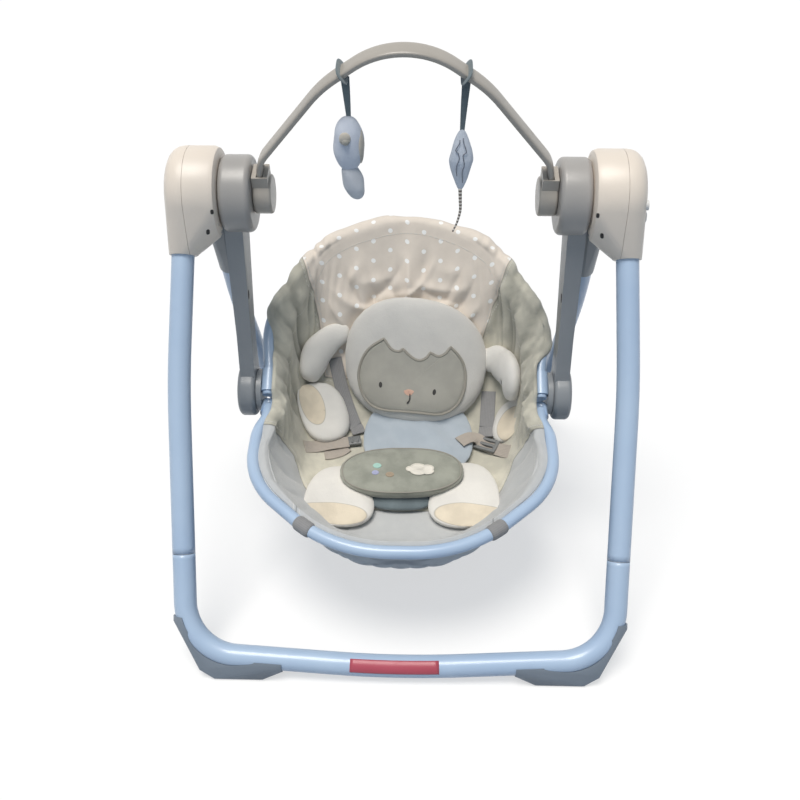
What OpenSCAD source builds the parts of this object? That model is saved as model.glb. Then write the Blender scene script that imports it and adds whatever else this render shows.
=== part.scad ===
// Portable infant swing on a folding tube stand.
// Left and right are as seen from the front. X points right, the front faces -Y, Z is up.
// The floor is z = 0 and the origin lies under the axis that joins the two hubs.

/* [Drawing] */
// Sub-part to draw, or all

/* [Stand] */
// Height of the hub axis above the floor
hub_z = 518; // [490:2:540]
// Lean of each leg frame from upright, degrees
lean = 31; // [28:1:34]
// Outside diameter of the front frame tube
front_od = 28; // [26:0.5:29]
// Outside diameter of the rear frame tube
rear_od = 25; // [22:0.5:26]
// Wall of both frame tubes
tube_wall = 1.6; // [1.2:0.1:2.2]
// Distance of a front leg from the middle, at the hub
front_leg_x = 271.5; // [271:0.5:273]
// Distance of a rear leg from the middle, at the hub
rear_leg_x = 239.5; // [239:0.5:240]
// Outward bow of each leg
leg_bow = 6; // [3:1:8]
// Distance of a front corner from the middle
front_corner_x = 264; // [258:1:268]
// Distance of a rear corner from the middle
rear_corner_x = 232; // [226:1:234]
// Height of the tube axis at the corners
corner_z = 30; // [27:1:34]
// Bend radius of the corners
corner_r = 68; // [60:1:72]
// Dip of the base tubes towards the middle
base_dip = 15; // [10:1:18]
// Distance of the leg seam from the hub axis
seam_run = 446; // [420:2:452]
// Width of the line at the leg seam
seam_gap = 0.4; // [0.3:0.1:0.8]
// Length of the plug inside the leg seam
plug_len = 56; // [40:2:70]
// Fold of the rear frame, degrees
fold_range = 48; // [30:1:48]

/* [Feet] */
// Length of the flat sole of a foot
sole_len = 60; // [50:1:66]
// Depth of the flat sole of a foot
sole_w = 36; // [32:1:40]
// Thickness of the rubber grip under a foot
grip_t = 2.5; // [2:0.1:4]
// Wall of a foot round its tube
foot_wall = 3; // [2:0.1:4]

/* [Hubs] */
// Radius of the hub housing
hub_r = 57; // [55:0.5:60]
// Inner face of the hub housing from the middle
hub_in_x = 224; // [224:0.2:224.4]
// Outer face of the hub housing from the middle
hub_out_x = 287; // [286:0.5:290]
// Parting plane of the two housing halves
hub_part_x = 262; // [260:0.5:264]
// Wall of the housing
hub_wall = 2.4; // [2:0.1:3]
// Rounding of the outer edge of the housing
hub_edge = 20; // [16:0.5:22]
// Reach of the front leg socket along the leg
socket_run = 77; // [70:1:84]
// Wall of the front leg socket
socket_wall = 3; // [2.6:0.1:3.4]
// Outer side of the room that the rear knuckle sweeps
knuckle_room_x = 256.6; // [256.2:0.1:257]
// Reach of the rear knuckle along the rear leg
knuckle_run = 150; // [130:2:160]
// Wall of the rear knuckle sleeve
knuckle_wall = 1.9; // [1.6:0.1:2]
// Radius of the hub axle
axle_r = 7; // [6:0.25:8]

/* [Drive and controls] */
// Diameter of a battery cell
cell_d = 26; // [24:0.5:26]
// Length of a battery cell
cell_len = 48; // [44:0.5:49]
// Radius of the pancake drive coil and its magnet
coil_r = 10; // [8:0.5:11]
// Radius of a control button
button_r = 6; // [5:0.25:6.5]
// Press depth of a control button
button_press = 2; // [1:0.25:2]
// Radius of a fold button
fold_button_r = 10; // [8:0.5:11]
// Press depth of a fold button
fold_press = 4; // [2:0.5:5]

/* [Swing arms] */
// Height of the seat pivot below the hub axis
arm_drop = 283; // [275:1:286]
// Radius of the upper disc of an arm
arm_disc_r = 47; // [44:0.5:49]
// Inner face of the upper disc from the middle
arm_in_x = 185; // [184.6:0.2:187]
// Outer face of the upper disc from the middle
arm_out_x = 223; // [222:0.2:223.4]
// Radius of the lower end of an arm
arm_end_r = 36; // [33:0.5:36]
// Thickness of the lower end of an arm
arm_end_t = 24; // [22:0.5:24.5]

/* [Toy bar] */
// Forward lean of the toy bar, degrees
bar_lean = 20; // [10:1:26]
// Height of the toy bar above the hub axis, along its lean
bar_rise = 215; // [200:1:230]
// Thickness of the toy bar band
bar_t = 7.5; // [6:0.25:8.5]
// Width of the toy bar band
bar_w = 23; // [20:0.5:25]
// Radius of a bar cap
cap_r = 24; // [23:0.5:27]
// Inner face of a bar cap from the middle
cap_in_x = 162; // [160:0.5:164]
// Distance of a toy from the middle
toy_x = 67; // [60:1:72]
// Strap length of the left toy
left_strap = 40; // [30:1:50]
// Strap length of the right toy
right_strap = 54; // [40:1:64]

/* [Seat frame] */
// Outside diameter of the seat tubes
seat_od = 16; // [14:0.25:16]
// Wall of the seat tubes
seat_wall = 1.3; // [1:0.1:1.6]
// Drop of the front loop towards the front, degrees
loop_drop = 12; // [10:0.5:14]
// Reach of the front loop from its sockets
loop_run = 251; // [244:1:256]
// Half width of the front loop
loop_half = 197; // [194:1:200]
// Half width of the seat tubes at their sockets
socket_half = 187.5; // [184:0.5:190]
// Slope of the back loop, degrees
back_slope = 40; // [38:1:44]
// Half width of the back loop
back_half = 192; // [189:1:195]
// Height of the back loop along its slope
back_run = 262; // [254:1:266]
// Radius of the seat pivot pins
pin_r = 5.5; // [4.5:0.25:6]
// Wall of the tube sockets
bracket_wall = 2.6; // [2:0.1:2.8]
// Thickness of a bracket's plate, beside the arm
plate_t = 7; // [6:0.25:8]
// Depth that the sockets sink into the plate
plate_lap = 1.6; // [1.2:0.1:2]
// Gap between a plate and its arm
plate_fit = 0.5; // [0.4:0.05:0.8]

/* [Seat fabric] */
// Gap between the sling and the sockets
sling_gap = 4.9; // [4:0.1:8]
// Gap between the sling and the front loop
rim_gap = 6; // [5:0.5:9]
// Depth of the sling below its rim
sling_depth = 105; // [90:1:110]
// Thickness of the sling
sling_t = 4; // [3:0.25:5]
// Thickness of the seat pad
pad_t = 7; // [5:0.25:9]
// Thickness of the harness webbing
web_t = 1.6; // [1.2:0.1:2]
// Width of the harness webbing
web_w = 20; // [16:1:24]

/* [Lamb and crotch pad] */
// Height of the lamb head above the pad
head_h = 52; // [40:1:60]
// Half width of the lamb head
head_a = 104; // [92:1:108]
// Half height of the lamb head
head_b = 77; // [68:1:80]
// Height of the lamb body above the pad
body_h = 30; // [22:1:36]
// Height of the crotch pad above the seat pad
crotch_h = 34; // [26:1:40]

/* [Fits] */
// Radial clearance of a turning pin
turn_fit = 0.06; // [0.03:0.01:0.09]
// Radial clearance of a fixed tube or pin
tube_fit = 0.15; // [0.1:0.05:0.3]
// Gap round buttons, lids and slots
slot_fit = 0.35; // [0.3:0.05:0.5]
// Gap between one cloth layer and the next
layer_gap = 0.6; // [0.4:0.1:1]

/* [Hidden] */
$fn = 64;
run_c = (hub_z - corner_z) / cos(lean);
bow_run = 235;
bow_r = 1400;
bend_lap = 0.6;
bend_swell = 0.1;
boss_r = 16;
axle_boss_r = axle_r + 5;
pivot_z = hub_z - arm_drop;
arm_waist = arm_drop - 93;
limb_x = arm_in_x + 15;
waist_x = arm_in_x + 19;
socket_r = seat_od / 2 + bracket_wall;
plate_x = socket_half + socket_r - plate_lap;
arm_end_x = plate_x + plate_t + plate_fit;
loop_y = -15;
loop_z = pivot_z - 13;
back_y = -10;
back_z = pivot_z + 13;
back_end = -14;
pin_head = 2;
cap_out_x = arm_in_x - 0.5;
bar_x = (cap_in_x + cap_out_x) / 2 + 1;
bar_start = boss_r + 3.5;
toy_run = bar_rise - toy_x * 65 / 92;
toy_drop = bar_t / 2 + 6.1;
toy_y = -(toy_run - toy_drop) * sin(bar_lean);
toy_z = hub_z + (toy_run - toy_drop) * cos(bar_lean);
lip_y = loop_y - loop_run * cos(loop_drop) + seat_od / 2 + 4.4;
lip_z = loop_z - loop_run * sin(loop_drop) + 2;
top_y = back_y + (back_run - 19.4) * cos(back_slope);
top_z = back_z + (back_run - 19.4) * sin(back_slope);
seat_tilt = atan2(top_z - lip_z, top_y - lip_y);
seat_len = norm([top_y - lip_y, top_z - lip_z]);
seat_mid = seat_len / 2;
dish_rings = 9;
dish_sides = 44;
pad_rings = 7;
pad_0 = layer_gap;
soft_0 = pad_0 + pad_t + layer_gap;
webbing_fit = 0.5;
webbing_slant = 36;
rim_half = loop_half - seat_od / 2 - rim_gap;
sling_half = min(socket_half - socket_r - sling_gap, rim_half);
sling_flare = rim_half - sling_half;

plastic = [0.71, 0.68, 0.64];
slate = [0.46, 0.50, 0.54];
white = [0.94, 0.95, 0.97];
steel = [0.62, 0.63, 0.65];
rubber = [0.16, 0.16, 0.17];
foot_grey = [0.56, 0.61, 0.66];
cloth = [0.80, 0.80, 0.79];
sage = [0.62, 0.65, 0.58];
cream = [0.95, 0.93, 0.88];
taupe = [0.52, 0.49, 0.46];

// Paths and placing

function turn(p, i) =
    let (a = p[i] - p[i - 1], b = p[i + 1] - p[i])
    atan2(a.x * b.y - a.y * b.x, a * b);

function trim(p, r, i) =
    (i == 0 || i == len(p) - 1) ? 0 : r[i] * tan(abs(turn(p, i)) / 2);

function unit(v) = v / norm(v);

// Centre of the bend at point i of a path
function bend_centre(p, r, i) =
    let (d = unit(p[i] - p[i - 1]), side = sign(turn(p, i)))
    p[i] - d * trim(p, r, i) + side * r[i] * [-d.y, d.x];

// Sweeps a section along a flat path with rounded corners: the first child is the section of the
// straight runs, the second that of the bends, which is a hair larger and laps onto the runs
module sweep(p, r) {
    for (i = [0:len(p) - 2]) {
        d = unit(p[i + 1] - p[i]);
        a = trim(p, r, i);
        b = trim(p, r, i + 1);
        start = p[i] + d * a;
        translate([start.x, start.y, 0])
            rotate([0, 0, atan2(d.y, d.x)])
                rotate([90, 0, 90])
                    linear_extrude(norm(p[i + 1] - p[i]) - a - b)
                        children(0);
    }
    for (i = [1:1:len(p) - 2]) {
        t = turn(p, i);
        d = unit(p[i] - p[i - 1]);
        c = bend_centre(p, r, i);
        lap = bend_lap / r[i] * 180 / PI;
        from = atan2(d.y, d.x) - sign(t) * 90 - (t > 0 ? 0 : abs(t)) - lap;
        translate([c.x, c.y, 0])
            rotate([0, 0, from])
                rotate_extrude(angle = abs(t) + 2 * lap)
                    translate([r[i], 0])
                        mirror([t > 0 ? 1 : 0, 0])
                            children(1);
    }
}

module bent_tube(p, r, od, wall) {
    sweep(p, r) {
        ring2(od, wall);
        ring2(od + bend_swell, wall + bend_swell);
    }
}

module ring2(od, wall) {
    difference() {
        circle(d = od);
        circle(d = od - 2 * wall);
    }
}

// Plane of a leg frame: local X is X and local Y runs down the legs
module leg_plane(side) {
    translate([0, 0, hub_z])
        rotate([270 + side * lean, 0, 0])
            children();
}

// Axis of the top of a leg on the right: local Z runs down the leg
module leg_axis(side, x) {
    leg_plane(side)
        translate([x, 0, 0])
            rotate([0, 0, -atan2(leg_bow, bow_run)])
                rotate([-90, 0, 0])
                    children();
}

// Local Z is X, with its origin on the hub axis
module hub_axis(x = 0) {
    translate([x, 0, hub_z])
        rotate([0, 90, 0])
            children();
}

module both_sides() {
    children();
    mirror([1, 0, 0])
        children();
}

module side(left) {
    mirror([left ? 1 : 0, 0, 0])
        children();
}

function lerp_x(a, b, run) = a.x + (b.x - a.x) * (run - a.y) / (b.y - a.y);
function leg_top(x) = [x, 0];
function leg_mid(x) = [x + leg_bow, bow_run];
function leg_corner(cx) = [cx, run_c];
function leg_at(x, cx, run) =
    [run < bow_run ? lerp_x(leg_top(x), leg_mid(x), run) : lerp_x(leg_mid(x), leg_corner(cx), run), run];

module leg_tube(side, x, cx, od, start) {
    leg_plane(side)
        bent_tube([leg_at(x, cx, start), leg_mid(x), leg_at(x, cx, seam_run - seam_gap / 2)],
            [0, bow_r, 0], od, tube_wall);
}

function flip(p) = [-p.x, p.y];
function base_path(x, cx) =
    let (a = leg_at(x, cx, seam_run + seam_gap / 2), b = leg_corner(cx))
    [a, b, [0, run_c + base_dip], flip(b), flip(a)];

module base_tube(side, x, cx, od) {
    leg_plane(side)
        bent_tube(base_path(x, cx), [0, corner_r, bow_r, corner_r, 0], od, tube_wall);
}

module leg_plugs(side, x, cx, od) {
    a = leg_at(x, cx, seam_run - plug_len / 2);
    b = leg_at(x, cx, seam_run + plug_len / 2);
    both_sides()
        leg_plane(side)
            sweep([a, b], [0, 0])
                circle(d = od - 2 * tube_wall - 2 * tube_fit);
}

// Feet

// Room of the tube in a foot, open towards the inside of the corner
module tube_room(x, cx, od) {
    w = od + 2 * slot_fit;
    sweep([leg_at(x, cx, seam_run + 10), leg_corner(cx), [0, run_c + base_dip]], [0, corner_r, 0]) {
        room_section(w);
        room_section(w + bend_swell);
    }
}

module room_section(w) {
    circle(d = w);
    translate([-3, -50])
        square([corner_r + 1, 100]);
}

module foot(s, x, cx, od) {
    y0 = s * run_c * sin(lean);
    sx = cx - 65;
    difference() {
        hull() {
            translate([sx - sole_len / 2, y0 - sole_w / 2, grip_t])
                cube([sole_len, sole_w, 4]);
            translate([sx - sole_len / 2 - 14, y0 - sole_w / 2 + 3, grip_t + 12])
                cube([sole_len + 32, sole_w - 6, 2]);
            leg_plane(s)
                translate([lerp_x(leg_mid(x), leg_corner(cx), run_c - 46) - 1, run_c - 46, 0])
                    rotate([-90, 0, 0])
                        cylinder(r = od / 2 + foot_wall - 1, h = 6, $fn = 32);
            leg_plane(s)
                translate([cx - 120, run_c + base_dip * 120 / cx - 1, 0])
                    rotate([0, 90, 0])
                        cylinder(r = od / 2 + foot_wall - 0.5, h = 6, $fn = 32);
        }
        leg_plane(s)
            tube_room(x, cx, od);
        translate([cx - 200, -600, -100])
            cube([300, 1200, 100 + grip_t]);
    }
}

module grips(s, cx) {
    both_sides()
        translate([cx - 65 - sole_len / 2 + 2, s * run_c * sin(lean) - sole_w / 2 + 2, 0])
            cube([sole_len - 4, sole_w - 4, grip_t]);
}

// Hub housings, drawn on the right

function arc(c, r, a, b, n) = [for (i = [0:n]) c + r * [cos(a + (b - a) * i / n), sin(a + (b - a) * i / n)]];

// Rounded drum about the hub axis with the front leg socket, shrunk by g
module hub_body(g) {
    e = hub_edge - g;
    w = hub_out_x - hub_in_x;
    hull() {
        hub_axis(hub_in_x)
            rotate_extrude($fn = 40)
                polygon(concat([[0, g]], arc([hub_r - 8, 8], 8 - g, -90, 0, 2),
                    arc([hub_r - hub_edge, w - hub_edge], e, 0, 90, 5), [[0, w - g]]));
        leg_axis(-1, front_leg_x)
            translate([0, 0, 20])
                cylinder(r = front_od / 2 + socket_wall - g, h = socket_run - 20 - (g > 0 ? 8 : 0), $fn = 32);
    }
}

// Room swept by the rear knuckle as the frame folds
module knuckle_room() {
    k = rear_od / 2 + knuckle_wall + 1.2;
    w = knuckle_room_x - hub_in_x + 4;
    hub_axis(hub_in_x - 4)
        rotate([0, 0, lean])
            rotate([0, 0, -fold_range])
                rotate_extrude(angle = fold_range)
                    square([120, w]);
    for (a = [lean, lean - fold_range])
        hub_axis(hub_in_x - 4)
            rotate([0, 0, a])
                translate([0, -k, 0])
                    cube([120, 2 * k, w]);
}

screw_spots = [[-41, -24], [-30, -38]];
fold_spot = [27, -25];
power_spot = [-40, 4];
music_spot = [-36, -12];

// Local Z is X; y and z are measured from the hub axis
module hub_spot(p, x) {
    translate([x, p[0], hub_z + p[1]])
        rotate([0, 90, 0])
            children();
}

module leg_bore() {
    leg_axis(-1, front_leg_x)
        translate([0, 0, 34])
            cylinder(d = front_od + 2 * tube_fit, h = 200);
}

module outer_shell(controls) {
    difference() {
        union() {
            difference() {
                intersection() {
                    hub_body(0);
                    translate([hub_part_x, -200, hub_z - 200])
                        cube([100, 400, 400]);
                }
                hub_body(hub_wall);
            }
            hub_axis(hub_part_x + 2)
                cylinder(r = axle_boss_r, h = hub_out_x - hub_part_x - 3);
        }
        leg_bore();
        hub_axis(hub_in_x)
            cylinder(r = axle_r + tube_fit, h = hub_part_x + 12 - hub_in_x);
        hub_spot(fold_spot, hub_part_x + 10)
            cylinder(r = fold_button_r + slot_fit, h = 60);
        if (controls) {
            for (p = [power_spot, music_spot])
                hub_spot(p, hub_part_x + 8)
                    cylinder(r = button_r + slot_fit, h = 60);
            hub_axis(hub_out_x - hub_wall - 3)
                rotate([0, 0, 75])
                    rotate_extrude(angle = 160)
                        translate([16, 0])
                            square([19, 20]);
        }
    }
}

module inner_shell() {
    difference() {
        intersection() {
            hub_body(0);
            translate([0, -200, hub_z - 200])
                cube([hub_part_x - seam_gap, 400, 400]);
        }
        hub_body(hub_wall);
        leg_bore();
        knuckle_room();
        hub_axis(hub_in_x - 10)
            cylinder(r = axle_r + slot_fit, h = 30);
        for (p = screw_spots)
            hub_spot(p, hub_in_x - 1)
                cylinder(r = 2.5, h = 12);
    }
}

module axle() {
    hub_axis(cap_in_x + 18)
        cylinder(r = axle_r, h = hub_part_x + 10 - cap_in_x - 18);
    hub_axis(arm_in_x - 4.4)
        cylinder(r = boss_r - 5, h = 4);
}

module knuckle() {
    difference() {
        hull() {
            hub_axis(rear_leg_x - 12)
                cylinder(r = axle_r + 8, h = 24, $fn = 40);
            leg_axis(1, rear_leg_x)
                translate([0, 0, 78])
                    cylinder(d = rear_od + 2 * knuckle_wall, h = knuckle_run - 78, $fn = 40);
        }
        hub_axis(0)
            cylinder(r = axle_r + turn_fit, h = 300);
        leg_axis(1, rear_leg_x)
            translate([0, 0, 84])
                cylinder(d = rear_od + 2 * tube_fit, h = 200);
    }
}

// Arms, drawn on the right

module round_disc(r, w, e) {
    rotate_extrude()
        union() {
            square([r - e, w]);
            translate([0, e])
                square([r, w - 2 * e]);
            for (z = [e, w - e])
                translate([r - e, z])
                    circle(e);
        }
}

module arm_axis(drop, x) {
    translate([x, 0, hub_z - drop])
        rotate([0, 90, 0])
            children();
}

magnet_spot = [0, 33];

module arm() {
    difference() {
        union() {
            hub_axis(arm_in_x)
                round_disc(arm_disc_r, arm_out_x - arm_in_x, 7);
            hub_axis(cap_in_x + 7)
                cylinder(r = boss_r, h = arm_in_x - cap_in_x);
            hull() {
                arm_axis(22, limb_x)
                    cylinder(r = 24, h = 23, $fn = 40);
                arm_axis(arm_waist, waist_x)
                    cylinder(r = 15, h = 19.5, $fn = 40);
            }
            hull() {
                arm_axis(arm_waist, waist_x)
                    cylinder(r = 15, h = 19.5, $fn = 40);
                arm_axis(arm_drop - 10, arm_end_x)
                    cylinder(r = 19, h = arm_end_t - 4, $fn = 40);
            }
            arm_axis(arm_drop, arm_end_x)
                round_disc(arm_end_r, arm_end_t, 6);
        }
        hub_axis(0)
            cylinder(r = axle_r + turn_fit, h = 300);
        hub_axis(0)
            cylinder(r = boss_r - 4, h = arm_in_x);
        arm_axis(arm_drop, 150)
            cylinder(r = pin_r + turn_fit, h = 200);
        arm_axis(arm_drop, arm_end_x + arm_end_t - pin_head - 2 * slot_fit)
            cylinder(r = pin_r + 4 + slot_fit, h = 10);
        hub_spot(magnet_spot, arm_out_x - 4)
            cylinder(r = coil_r + tube_fit, h = 10);
    }
}

// Toy bar

module bar_plane() {
    translate([0, 0, hub_z])
        rotate([90 + bar_lean, 0, 0])
            children();
}

bar_points = [[bar_x, bar_start], [bar_x, 48], [92, bar_rise - 65], [0, bar_rise],
    [-92, bar_rise - 65], [-bar_x, 48], [-bar_x, bar_start]];
bar_radii = [0, 45, 150, 95, 150, 45, 0];

// Section of the toy bar: a flat band with bevelled edges
module band(t, w) {
    c = t / 3;
    polygon([for (q = [[1, 1], [-1, 1], [-1, -1], [1, -1]])
        for (k = q.x * q.y > 0 ? [0, 1] : [1, 0])
            [q.x * (t / 2 - k * c), q.y * (w / 2 - (1 - k) * c)]]);
}

module bar_cap() {
    difference() {
        union() {
            hub_axis(cap_in_x)
                round_disc(cap_r, cap_out_x - cap_in_x, 3);
            bar_plane()
                translate([cap_in_x + 2.5, 0, -bar_w / 2 - 2.5])
                    cube([cap_out_x - cap_in_x - 3, 34, bar_w + 5]);
        }
        hub_axis(cap_in_x + 6)
            cylinder(r = boss_r + turn_fit, h = 40);
        bar_plane()
            translate([bar_x - bar_t / 2 - slot_fit, bar_start - 0.5, -bar_w / 2 - slot_fit])
                cube([bar_t + 2 * slot_fit, 60, bar_w + 2 * slot_fit]);
    }
}

module toy_loop(x) {
    a = atan2(65, 92);
    bar_plane()
        translate([x, toy_run, 0])
            rotate([0, 0, x > 0 ? -a : a])
                difference() {
                    cube([11, bar_t + 2 * slot_fit + 2.6, bar_w + 2 * slot_fit + 2.6], center = true);
                    cube([20, bar_t + 2 * slot_fit, bar_w + 2 * slot_fit], center = true);
                }
}

// Closed soft body from rings of points, first and last ring closed by a fan. The diagonals change
// over at the middle ring, so that the two skins of a layer are split alike.
module rings_solid(rings) {
    n = len(rings[0]);
    m = len(rings);
    pts = [for (r = rings) each r];
    faces = concat(
        [for (i = [1:n - 2]) [0, i + 1, i]],
        [for (j = [0:m - 2]) for (i = [0:n - 1])
            let (a = j * n + i, b = j * n + (i + 1) % n, c = a + n, d = b + n)
            each j < m / 2 ? [[a, b, d], [a, d, c]] : [[a, b, c], [b, d, c]]],
        [for (i = [1:n - 2]) [(m - 1) * n, (m - 1) * n + i, (m - 1) * n + i + 1]]);
    polyhedron(points = pts, faces = faces);
}

// Stuffed oval standing on z: widest at share k of its height
function oval(c, rx, ry, h, k, n, m) =
    [for (j = [0:m])
        let (u = 0.02 + 0.96 * j / m, v = u < k ? 1 - u / k : (u - k) / (1 - k), f = sqrt(max(0, 1 - v * v)))
        [for (i = [0:n - 1]) c + [rx * f * cos(-360 * i / n), ry * f * sin(-360 * i / n), h * (u - 1)]]];

module toy_strap(x, len, w) {
    translate([x, toy_y + web_t / 2, toy_z])
        rotate([90, 0, 0])
            linear_extrude(web_t)
                polygon([[-w / 2, 0], [w / 2, 0], [w / 4, -len], [-w / 4, -len]]);
}

// Seat

module loop_plane() {
    translate([0, loop_y, loop_z])
        rotate([180 + loop_drop, 0, 0])
            children();
}

module back_plane() {
    translate([0, back_y, back_z])
        rotate([back_slope, 0, 0])
            children();
}

loop_points = [[socket_half, 6], [socket_half, 30], [loop_half, 54], [loop_half - 1, 142],
    [80, loop_run], [-80, loop_run], [-loop_half + 1, 142], [-loop_half, 54],
    [-socket_half, 30], [-socket_half, 6]];
loop_radii = [0, 40, 60, 120, 170, 170, 120, 60, 40, 0];
back_points = [[socket_half, back_end], [socket_half, 26], [back_half, 62], [back_half, 100],
    [118, back_run - 40], [0, back_run], [-118, back_run - 40], [-back_half, 100],
    [-back_half, 62], [-socket_half, 26], [-socket_half, back_end]];
back_radii = [0, 80, 80, 100, 140, 150, 140, 100, 80, 80, 0];

module bracket() {
    difference() {
        union() {
            arm_axis(arm_drop, plate_x)
                cylinder(r = 29, h = plate_t);
            loop_plane()
                translate([socket_half, 0, 0])
                    rotate([-90, 0, 0])
                        cylinder(r = socket_r, h = 20);
            back_plane()
                translate([socket_half, -9, 0])
                    rotate([-90, 0, 0])
                        cylinder(r = socket_r, h = 32);
        }
        loop_plane()
            translate([socket_half, 5.5, 0])
                rotate([-90, 0, 0])
                    cylinder(d = seat_od + 2 * tube_fit, h = 60);
        back_plane()
            translate([socket_half, -40, 0])
                rotate([-90, 0, 0])
                    cylinder(d = seat_od + 2 * tube_fit, h = 90);
        arm_axis(arm_drop, 150)
            cylinder(r = pin_r + tube_fit, h = 200);
    }
}

module pin() {
    arm_axis(arm_drop, plate_x + plate_fit)
        cylinder(r = pin_r, h = plate_t + arm_end_t - 0.5);
    arm_axis(arm_drop, arm_end_x + arm_end_t - pin_head - slot_fit)
        cylinder(r = pin_r + 4, h = pin_head);
}

// Seat cloth: a dish over the tilted plane from the front lip to the top of the back

function step(a, b, v) = let (t = min(1, max(0, (v - a) / (b - a)))) t * t * (3 - 2 * t);
function half_at(s) = sling_half + sling_flare * step(25, 110, abs(s - seat_mid - 3));
function dish_n(s) = s < seat_mid ? 2.4 : 2;
function dish_r(x, s) =
    min(1, pow(pow(abs(x) / half_at(s), dish_n(s)) + pow(abs(s - seat_mid) / seat_mid, dish_n(s)), 1 / dish_n(s)));
function rim_dip(s) = -58 * (1 - pow(abs(s - seat_mid) / seat_mid, 1.2));
function dish_d(s) = sling_depth + 10 * exp(-pow((s - 250) / 90, 2)) - (sling_depth - 45) * step(290, 470, s);
function dish(x, s) = rim_dip(s) - dish_d(s) * pow(max(0, 1 - pow(dish_r(x, s), 8)), 0.4545);
function seat_pt(x, s, w) =
    [x, lip_y + s * cos(seat_tilt) - w * sin(seat_tilt), lip_z + s * sin(seat_tilt) + w * cos(seat_tilt)];

// Plan point of the dish at share r of the way to its rim, in direction a
function dish_plan(r, a) =
    let (n = sin(a) < 0 ? 2.4 : 2,
        k = pow(pow(abs(cos(a)), n) + pow(abs(sin(a)), n), -1 / n),
        s = seat_mid + r * k * sin(a) * seat_mid)
    [r * k * cos(a) * half_at(s), s];

// Closed solid between two skins given as functions of a ring's number and an angle
module two_skin(top, low, nr, na) {
    function ring(f, j) = [for (i = [0:na - 1]) f(j, -360 * i / na)];
    rings_solid(concat([for (j = [0:nr]) ring(low, j)], [for (j = [nr:-1:0]) ring(top, j)]));
}

function ring_share(j, n) = 0.03 + 0.97 * j / n;
function dish_share(j) = sin(90 * ring_share(j, dish_rings));

// Layer of cloth on the dish out to one of its rings, its lower skin wider by a share of its reach
module dish_layer(low, high, rings, grow) {
    skin = function(h, g) function(j, a)
        let (r = dish_share(j), p = dish_plan(r, a))
        seat_pt(p.x * (1 + g * r), seat_mid + (p.y - seat_mid) * (1 + g * r), dish(p.x, p.y) + h);
    two_skin(skin(high, 0), skin(low, grow), rings, dish_sides);
}

// Height of the facets of the cloth layers over plan point (x, s): what lies on them clears them
function dish_knot(j, i) =
    let (p = dish_plan(dish_share(j), 360 * i / dish_sides))
    [p.x, p.y, dish(p.x, p.y)];
function plane_w(a, b, c, x, s) =
    let (n = cross(b - a, c - a))
    a.z - (n.x * (x - a.x) + n.y * (s - a.y)) / n.z;
function facet(x, s) =
    let (j = floor((asin(dish_r(x, s)) / 90 - 0.03) / 0.97 * dish_rings),
        i = floor(atan2((s - seat_mid) / seat_mid, x / half_at(s)) / 360 * dish_sides),
        k0 = max(0, min(pad_rings - 2, j)))
    max([for (k = [k0, k0 + 1]) each [
        plane_w(dish_knot(k + 1, i + 1), dish_knot(k + 1, i), dish_knot(k, i + 1), x, s),
        plane_w(dish_knot(k + 1, i), dish_knot(k, i), dish_knot(k, i + 1), x, s)]]);

// Stuffed cushion lying on the dish: oval plan, crowned top
module cushion(c, a, b, spin, h, e, low, g = 0, nr = 6, na = 28) {
    at = function(r, t)
        let (k = pow(pow(abs(cos(t)), 2.4) + pow(abs(sin(t)), 2.4), -1 / 2.4),
            u = r * k * (a + g) * cos(t), v = r * k * (b + g) * sin(t))
        [c.x + u * cos(spin) - v * sin(spin), c.y + u * sin(spin) + v * cos(spin)];
    top = function(j, t)
        let (r = ring_share(j, nr), p = at(r, t))
        seat_pt(p.x, p.y, facet(p.x, p.y) + low + g + e + (h - e) * pow(max(0, 1 - pow(r, 2.6)), 0.6));
    bottom = function(j, t)
        let (p = at(ring_share(j, nr), t))
        seat_pt(p.x, p.y, facet(p.x, p.y) + low - 3 * g);
    two_skin(top, bottom, nr, na);
}

// Strip of webbing along the dish from p to q
module strip(p, q, w, low, t, n = 6) {
    d = (q - p) / norm(q - p);
    nrm = [-d.y, d.x];
    sect = function(f)
        let (m = p + (q - p) * f)
        [for (k = [[1, 0], [-1, 0], [-1, t], [1, t]])
            let (v = m + nrm * k.x * w / 2)
            seat_pt(v.x, v.y, facet(v.x, v.y) + low + k.y)];
    rings_solid([for (i = [0:n]) sect(i / n)]);
}

// Frame that lies on the dish at p, lifted by h, with local Z along the normal
module on_dish(p, h) {
    e = 4;
    ex = unit(seat_pt(p.x + e, p.y, dish(p.x + e, p.y)) - seat_pt(p.x - e, p.y, dish(p.x - e, p.y)));
    es = unit(seat_pt(p.x, p.y + e, dish(p.x, p.y + e)) - seat_pt(p.x, p.y - e, dish(p.x, p.y - e)));
    ez = unit(cross(ex, es));
    ey = cross(ez, ex);
    o = seat_pt(p.x, p.y, facet(p.x, p.y)) + h * ez;
    multmatrix([[ex.x, ey.x, ez.x, o.x], [ex.y, ey.y, ez.y, o.y], [ex.z, ey.z, ez.z, o.z], [0, 0, 0, 1]])
        children();
}

module head_form(g = 0) {
    cushion([15, 325], head_a, head_b, -6, head_h, 8, soft_0, g);
}

module crotch_form(g = 0) {
    cushion([-2, 146], 88, 39, 2, crotch_h, 6, soft_0, g, 5, 24);
}

module body_form(g = 0) {
    difference() {
        cushion([20, 222], 79, 70, 0, body_h, 6, soft_0, g);
        head_form(g + 1);
        crotch_form(g + 1);
    }
}

// Sub-parts

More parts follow.
